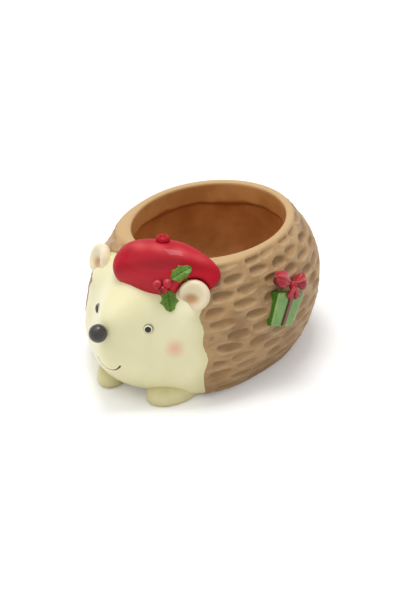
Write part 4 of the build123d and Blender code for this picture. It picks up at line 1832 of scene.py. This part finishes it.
@dataclass
class Berries:
    """Three glossy berries in a cluster.

    Args:
        middle: Middle of the cluster.
        turn: Degrees that it faces outwards.
        lean: Degrees that it leans back.
        radius: A berry's radius.
        place_shares: Where each berry lies, as shares of that radius.
        size_change: How much their sizes differ, as a share.
        dent: Depth of the blossom end's dent, as a share of the radius.
    """

    middle: Place = (0.0206, -0.0672, 0.0726)
    turn: float = 33
    lean: float = 20
    radius: float = 0.0027
    place_shares: tuple = ((-0.95, 0.2), (0.95, 0.45), (0.2, -0.85))
    size_change: float = 0.05
    dent: float = 0.14

    def tree(self) -> NodeTree:
        """The geometry nodes that set one berry on each point.

        Returns:
            The tree.
        """
        inputs = {"Geometry": "Geometry", "Berry": "Object", "Size Change": "Float", "Paint": "Material"}
        graph = Graph(new_tree("Berry Cluster", "Geometry", inputs, {"Geometry": "Geometry"}))
        given = graph.add("NodeGroupInput").outputs
        berry = graph.add("GeometryNodeObjectInfo", {"Object": given["Berry"]}).outputs["Geometry"]
        number = graph.add("GeometryNodeInputIndex").outputs[0]
        change = graph.math("SINE", graph.times(number, 2.3))
        size = graph.line(change, given["Size Change"], 1)
        values = {"Points": given["Geometry"], "Instance": berry}
        values["Scale"] = graph.vector(size, size, size)
        values["Rotation"] = graph.vector(0, 0, number)
        graph.dress(graph.add("GeometryNodeInstanceOnPoints", values).outputs[0], given["Paint"])
        return graph.tree

    def berry(self) -> Object:
        """One berry about the origin, with the small eye of its blossom end.

        Returns:
            The berry.
        """
        angles = np.linspace(0.04, pi - 0.04, 28)[:, None]
        radii = self.radius * (1 - self.dent * bump(angles, 0.3))
        out = outward(self.turn, self.lean)
        seat = Seat(Vector(), Vector((1, 0, 0)), out)
        piece = lathe("one_berry", seat, ball(radii, 28, 0.04), 36)
        points = corners(piece)
        facing = points @ np.array(out) / self.radius
        # Dark eye of the blossom end, and painted shade on the side that faces away.
        add_mask(piece, "hollow", 0.35 * bump(facing - 0.92, 0.04) + ease((0.25 - facing) / 0.8))
        # Painted highlight on the upper, outer side.
        add_mask(piece, "worn", 0.5 * bump(facing - 0.7, 0.16) * ease(points[:, 2] / self.radius))
        return piece

    def build(self, material: Material) -> None:
        """Makes the cluster's visual piece.

        Args:
            material: Its paint.
        """
        seat = paired_seat(Side.LEFT, self.middle, self.turn, self.lean)
        shares = np.array(self.place_shares) * self.radius
        places = seat.at(shares[:, 0], shares[:, 1], 0 * shares[:, 0])
        piece = link_mesh("holly_berry_cluster", places, [])
        berry = self.berry()
        values = {"Berry": berry, "Size Change": self.size_change, "Paint": material}
        run_nodes(piece, self.tree(), values)
        bpy.data.objects.remove(berry)
        finish_piece(piece, material, "berry_red", "holly_berries")


@dataclass
class Gift:
    """A gift in relief on the left flank, with its ribbon, knot, loops and tails.

    Args:
        width: Width of the box.
        height: Its height.
        proud: How far its front stands out of the belly.
        root: How far it goes in.
        edge_round: Rounding of its edges.
        middle: Middle of its front.
        roll: Degrees that it rolls.
        turn: Degrees that it turns to the back.
        lean: Degrees that it leans back.
        shear: How far its rear edge runs down towards the face, as a share of the height.
        sink: How far its lower edge lies in, as a share of the height.
        ribbon_width: Width of the ribbon.
        ribbon_thickness: How far the ribbon stands out.
        bow_rise: How far the knot lies over the box.
        knot_radius: Radius of the knot.
        front_loop: Length of the loop towards the face.
        back_loop: Length of the other loop.
        loop_width: Half width of a loop.
        loop_depth: How far a loop stands out.
        loop_sink: How far its middle lies under the knot's.
        loop_start: How far from the knot's middle it starts.
        loop_turn: Degrees that the loops rise from level.
        tail_length: Length of a tail.
        tail_turn: Degrees that each tail hangs to its side.
        tail_start: How far under the knot's middle a tail starts.
        tail_width: Half its width at the knot.
        tail_flare: How much that grows towards its end.
        tail_notch: Depth of the notch in its end.
        swell: How far the box's faces swell.
        shadow_width: Width over which the painted shade ends.
    """

    width: float = 0.022
    height: float = 0.0195
    proud: float = 0.0041
    root: float = 0.007
    edge_round: float = 0.0011
    middle: Place = (0.0627, -0.0070, 0.0452)
    roll: float = 22
    turn: float = 3.7
    lean: float = 8.6
    shear: float = 0.24
    sink: float = 0.1
    ribbon_width: float = 0.0034
    ribbon_thickness: float = 0.0008
    bow_rise: float = 0.0042
    knot_radius: float = 0.0025
    front_loop: float = 0.0165
    back_loop: float = 0.0118
    loop_width: float = 0.0056
    loop_depth: float = 0.0042
    loop_sink: float = 0.0012
    loop_start: float = 0.0012
    loop_turn: float = 17
    tail_length: float = 0.0082
    tail_turn: float = 30
    tail_start: float = 0.0008
    tail_width: float = 0.0011
    tail_flare: float = 0.0013
    tail_notch: float = 0.0016
    swell: float = 0.0003
    shadow_width: float = 0.0008

    def seat(self) -> Seat:
        """The plane of the box's front."""
        level = Vector((sin(radians(self.turn)), cos(radians(self.turn)), 0))
        return Seat(Vector(self.middle), level, outward(90 - self.turn, self.lean)).turned(-self.roll)

    def bow_seat(self) -> Seat:
        """The plane through the knot."""
        return self.seat().moved(0, self.height / 2 + self.bow_rise, 0)

    def rounded_box(self, name: str, seat: Seat, half: Vector, edge: float, bulge: float) -> Object:
        """A soft-edged box, a little crowned as if pressed by hand.

        Args:
            name: The object's name.
            seat: The plane through its middle.
            half: Half its sizes.
            edge: Rounding of its edges.
            bulge: How far its faces swell.

        Returns:
            The object.
        """
        work = bmesh.new()
        bmesh.ops.create_cube(work, size=2)
        bmesh.ops.subdivide_edges(work, edges=work.edges, cuts=21, use_grid_fill=True)
        faces = [[corner.index for corner in face.verts] for face in work.faces]
        unit = np.array([corner.co for corner in work.verts])
        work.free()
        size = np.array(half)
        inner = np.clip(unit * size, -(size - edge), size - edge)
        away = unit * size - inner
        length = np.maximum(np.linalg.norm(away, axis=1, keepdims=True), 1e-9)
        points = inner + away / length * edge
        crown = np.prod(np.cos(unit * pi / 2.4), axis=1, keepdims=True)
        waves = np.sin(points[:, [1, 2, 0]] * 700 + 1) * np.cos(points[:, [2, 0, 1]] * 500)
        points = points + unit * bulge * crown + waves * bulge * 0.3
        below = points[:, 1] - self.height / 2
        points[:, 0] += self.shear * below * (0.5 + points[:, 0] / self.width)
        points[:, 2] += self.sink * below
        return link_mesh(name, seat.at(points[:, 0], points[:, 1], points[:, 2]), faces)

    def squared(self, points: Array) -> Array:
        """Coordinates on the front's plane, before its shear and sink.

        Args:
            points: Points of the frame.

        Returns:
            Their coordinates.
        """
        local = self.seat().local(points)
        below = local[:, 1] - self.height / 2
        local[:, 0] = (local[:, 0] - self.shear * below / 2) / (1 + self.shear * below / self.width)
        local[:, 2] -= self.sink * below
        return local

    def build_box(self, material: Material) -> None:
        """Makes the box.

        Args:
            material: Its paint.
        """
        depth = (self.proud + self.root) / 2
        half = Vector((self.width / 2, self.height / 2, depth))
        seat = self.seat().moved(0, 0, -depth)
        piece = self.rounded_box("gift_body", seat, half, self.edge_round, self.swell)
        local = self.squared(corners(piece))
        away = np.abs(local[:, 0])
        # Painted shade on the box's sides, and a painted shadow along each edge of the ribbon.
        side = ease((-self.edge_round * 0.6 - local[:, 2]) / self.shadow_width)
        ribbon = bump(away - self.ribbon_width / 2 - 0.0004, 0.0007)
        add_mask(piece, "hollow", np.maximum(side, 0.7 * ribbon))
        # Painted highlight along the box's side edges.
        add_mask(piece, "worn", 0.6 * bump(away - self.width / 2, self.shadow_width) * (1 - side))
        finish_piece(piece, material, "gift_green", "gift_box")

    def build_ribbon(self, material: Material) -> None:
        """Makes the ribbon down the middle of the front.

        Args:
            material: Its paint.
        """
        tall = self.height / 2 - self.edge_round * 0.4
        half = Vector((self.ribbon_width / 2, tall, self.ribbon_thickness))
        edge = self.ribbon_thickness * 0.75
        piece = self.rounded_box("gift_band", self.seat(), half, edge, self.swell / 3)
        across = self.squared(corners(piece))[:, 0]
        # Painted shadow along one side of the ribbon.
        add_mask(piece, "hollow", ease((-across - self.ribbon_width * 0.2) / self.shadow_width))
        finish_piece(piece, material, "ribbon_brown", "gift_ribbon")

    def build_loop(self, side: Side, material: Material) -> None:
        """Makes a loop: a pinched pillow that widens away from the knot.

        Args:
            side: Which loop it is.
            material: Its paint.
        """
        sign = -side.value
        seat = self.bow_seat().turned(sign * self.loop_turn).moved(0, 0, -self.loop_sink)
        along = np.linspace(0.02, 0.99, 48)[:, None]
        around = circle(60)
        width = self.loop_width * np.sin(pi * along**1.5 * 0.93 + 0.18) ** 0.7 * (0.55 + 0.45 * along)
        width = np.maximum(width, self.loop_width / 28)
        deep = self.loop_depth * np.sin(pi * along**1.2 * 0.96 + 0.08) ** 0.7
        across, seen = np.cos(around), np.sin(around) > 0
        middle = bump(across - 0.12, 0.3) * seen
        crease = 1 - (0.5 - 0.15 * along) * middle
        folds = 1 + 0.11 * np.sin(5 * around + 0.6) * (1 - 0.4 * along)
        notch = 0.2 * bump(across - 0.12, 0.4) + 0.04 * np.sin(3 * around)
        tip = 1 - notch * ease((along - 0.6) / 0.3)
        length = self.front_loop if side is Side.LEFT else self.back_loop
        x = sign * (self.loop_start + (length - self.loop_start) * along) * tip
        y = width * across * folds
        z = deep * np.sin(around) * folds * crease
        name = f"bow_{side.name.lower()}_loop"
        piece = skin(f"{name}_fold", seat.at(x, y, z))
        # Painted shade in the middle crease, where the loop gathers at the knot, and along its back
        # edge.
        gathered = bump(across + 0.55, 0.2) * (1 - along) ** 0.5
        hollow = np.maximum(middle * (1.1 - 0.5 * along), gathered)
        hollow = np.maximum(hollow, ease((-across - 0.7) / 0.25))
        add_mask(piece, "hollow", np.append(0.9 * hollow, [1, 0]))
        # Painted highlight along the loop's upper swell.
        add_mask(piece, "worn", 0.8 * (bump(across - 0.45, 0.3) * seen + 0 * along))
        finish_piece(piece, material, "bow_red", name)

    def build_knot(self, material: Material) -> None:
        """Makes the knot: a small gathered ball.

        Args:
            material: Its paint.
        """
        seat = self.bow_seat().moved(0, 0, -self.loop_sink / 2)
        piece = lathe("bow_centre", seat, ball(self.knot_radius, 26, 0.05, 0.8), 48, 0.09)
        local = self.bow_seat().local(corners(piece))
        turn = np.arctan2(local[:, 1], local[:, 0])
        # Painted shade in three creases of the knot.
        add_mask(piece, "hollow", 0.85 * bump(np.sin(3 * turn), 0.35))
        finish_piece(piece, material, "bow_red", "bow_knot")

    def build_tails(self, material: Material) -> None:
        """Makes the two tails that hang from the knot over the box.

        Args:
            material: Its paint.
        """
        share = np.linspace(0.02, 1, 24)[:, None]
        around = circle(32)
        across = np.cos(around)
        half = (self.tail_width + self.tail_flare * share) * (1 - 0.6 * ease((share - 0.94) / 0.06))
        notch = self.tail_notch * bump(across, 0.45) * ease((share - 0.6) / 0.4)
        x = half * np.sign(across) * np.abs(across) ** 0.6
        y = -self.tail_start - (self.tail_length - self.tail_start) * share + notch
        z = 0.0011 + 0.0009 * np.sin(around) - 0.0005 * share
        seats = [self.bow_seat().turned(sign * self.tail_turn) for sign in (-1, 1)]
        pieces = [skin("bow_ends", seat.at(x, y, z)) for seat in seats]
        points = np.vstack([corners(piece) for piece in pieces])
        count = len(pieces[0].data.vertices)
        faces = [list(face.vertices) for face in pieces[0].data.polygons]
        faces += [[count + index for index in face.vertices] for face in pieces[1].data.polygons]
        for piece in pieces:
            bpy.data.objects.remove(piece)
        joined = link_mesh("bow_tail_pair", points, faces)
        local = self.bow_seat().local(points)
        # Darker towards the tails' ends.
        add_mask(joined, "hollow", ease((-local[:, 1] - self.tail_length * 0.75) / 0.002) * 0.6)
        # Painted highlight along the tails' raised middle.
        add_mask(joined, "worn", 0.4 * bump(local[:, 2] - 0.0022, 0.0006))
        finish_piece(joined, material, "bow_red", "bow_tails")

    def build(self, finishes: dict[str, Material]) -> None:
        """Makes the whole gift.

        Args:
            finishes: The materials by name.
        """
        red = finishes["bow_red"]
        self.build_box(finishes["gift_green"])
        self.build_ribbon(finishes["ribbon_brown"])
        self.build_loop(Side.LEFT, red)
        self.build_loop(Side.RIGHT, red)
        self.build_knot(red)
        self.build_tails(red)


@dataclass(frozen=True)
class Lamp:
    """A soft square lamp that faces the planter.

    Args:
        name: Its name.
        place: Where it hangs.
        size: Length of its side.
        power: Its power in watts.
    """

    name: str
    place: Place
    size: float
    power: float

    def build(self, target: Vector) -> None:
        """Makes the lamp and turns it to the target.

        Args:
            target: What it faces.
        """
        data = bpy.data.lights.new(self.name, "AREA")
        data.size = self.size
        data.energy = self.power
        lamp = link_object(self.name, data)
        lamp.location = self.place
        lamp.rotation_euler = (Vector(self.place) - target).to_track_quat("Z", "Y").to_euler()


@dataclass
class Studio:
    """Pale floor, soft light and the camera at the photograph's angle.

    Args:
        azimuth: Degrees that the camera stands to the animal's left of its front.
        elevation: Degrees that it looks down.
        distance: Its distance from what it looks at.
        target: What it looks at.
        focal_pixels: Focal length in pixels of the photograph.
        target_pixel: Where the target lies in the photograph.
        image_size: The photograph's width and height.
        sensor: Width of the camera's sensor in its usual millimetres.
        light: Strength of the room's light.
        floor_size: Length of the floor's side.
        floor_grey: How pale the floor is.
        floor_glow: How much it glows for the camera, which whitens it.
        lamps: The lamps.
    """

    azimuth: float = 38.465
    elevation: float = 29.451
    distance: float = 1.3
    target: Place = (0, -0.015, 0.039)
    focal_pixels: float = 2290.6
    target_pixel: tuple[float, float] = (192.487, 290.742)
    image_size: tuple[int, int] = (401, 601)
    sensor: float = 36
    light: float = 0.7
    floor_size: float = 6
    floor_grey: float = 0.9
    floor_glow: float = 0.14
    lamps: tuple[Lamp, ...] = (
        Lamp("key", (-0.3, -0.4, 1.2), 1.2, 4),
        Lamp("top", (-0.1, 0.1, 1.2), 0.45, 5.5),
    )

    def camera(self) -> None:
        """Makes the camera."""
        data = bpy.data.cameras.new("photo_camera")
        camera = link_object("photo_camera", data)
        back = outward(self.azimuth, self.elevation)
        camera.location = Vector(self.target) + back * self.distance
        camera.rotation_euler = back.to_track_quat("Z", "Y").to_euler()
        long_side = max(self.image_size)
        data.sensor_width = self.sensor
        data.lens = self.focal_pixels * data.sensor_width / long_side
        data.shift_x = (self.image_size[0] / 2 - self.target_pixel[0]) / long_side
        data.shift_y = (self.target_pixel[1] - self.image_size[1] / 2) / long_side
        data.clip_start, data.clip_end = 0.05, 20
        bpy.context.scene.camera = camera

    def world(self) -> None:
        """A pale room that is white to the camera and to reflections."""
        world = bpy.data.worlds.new("Studio Room")
        bpy.context.scene.world = world
        world.use_nodes = True
        graph = Graph(world.node_tree)
        world.node_tree.nodes.clear()
        strength = graph.line(graph.seen(), 1 - self.light, self.light)
        light = graph.add("ShaderNodeBackground", {"Color": (1, 1, 1, 1), "Strength": strength})
        graph.add("ShaderNodeOutputWorld", {"Surface": light.outputs[0]})

    def floor(self) -> None:
        """A white floor that keeps the planter's shadow."""
        bpy.ops.mesh.primitive_plane_add(size=self.floor_size, location=(0, 0, 0))
        floor = bpy.context.object
        floor.name = "studio_floor"
        material = bpy.data.materials.new("Studio Floor")
        material.use_nodes = True
        graph = Graph(material.node_tree)
        shader = material.node_tree.nodes["Principled BSDF"]
        matt = {"Base Color": (*[self.floor_grey] * 3, 1), "Roughness": 0.9, "Specular IOR Level": 0}
        glow = graph.times(graph.seen(), self.floor_glow)
        graph.fill(shader, {**matt, "Emission Color": (1, 1, 1, 1), "Emission Strength": glow})
        floor.data.materials.append(material)

    def build(self) -> None:
        """Sets the whole studio up."""
        self.camera()
        self.world()
        self.floor()
        for lamp in self.lamps:
            lamp.build(Vector(self.target))
        bpy.context.scene.view_settings.view_transform = "Standard"


def main() -> None:
    """Builds every sub-assembly in order."""
    logging.basicConfig(level=logging.INFO, format="%(name)s %(message)s")
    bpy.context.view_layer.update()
    finishes = make_finishes()
    seam = Seam()
    PotBody(seam).build(finishes["brown_body"])
    head = Head(seam).build(finishes["cream_face"])
    left_ear = Ear(Side.LEFT)
    for ear in (left_ear, Ear(Side.RIGHT)):
        ear.build(finishes["cream_ear"])
    Nose().build(finishes["nose"])
    Eye(Side.LEFT).build(finishes["eye"])
    Eye(Side.RIGHT).build(finishes["far_eye"])
    for paw in PAWS:
        paw.build(finishes["cream_paw"])
    beret = Beret(left_ear)
    cap = beret.build(finishes["red_beret"])
    beret.build_stalk(finishes["red_beret"])
    for leaf in LEAVES:
        leaf.build(Surface(cap, head), finishes["leaf_green"])
    Berries().build(finishes["berry_red"])
    Gift().build(finishes)
    Studio().build()


if __name__ == "__main__":
    main()
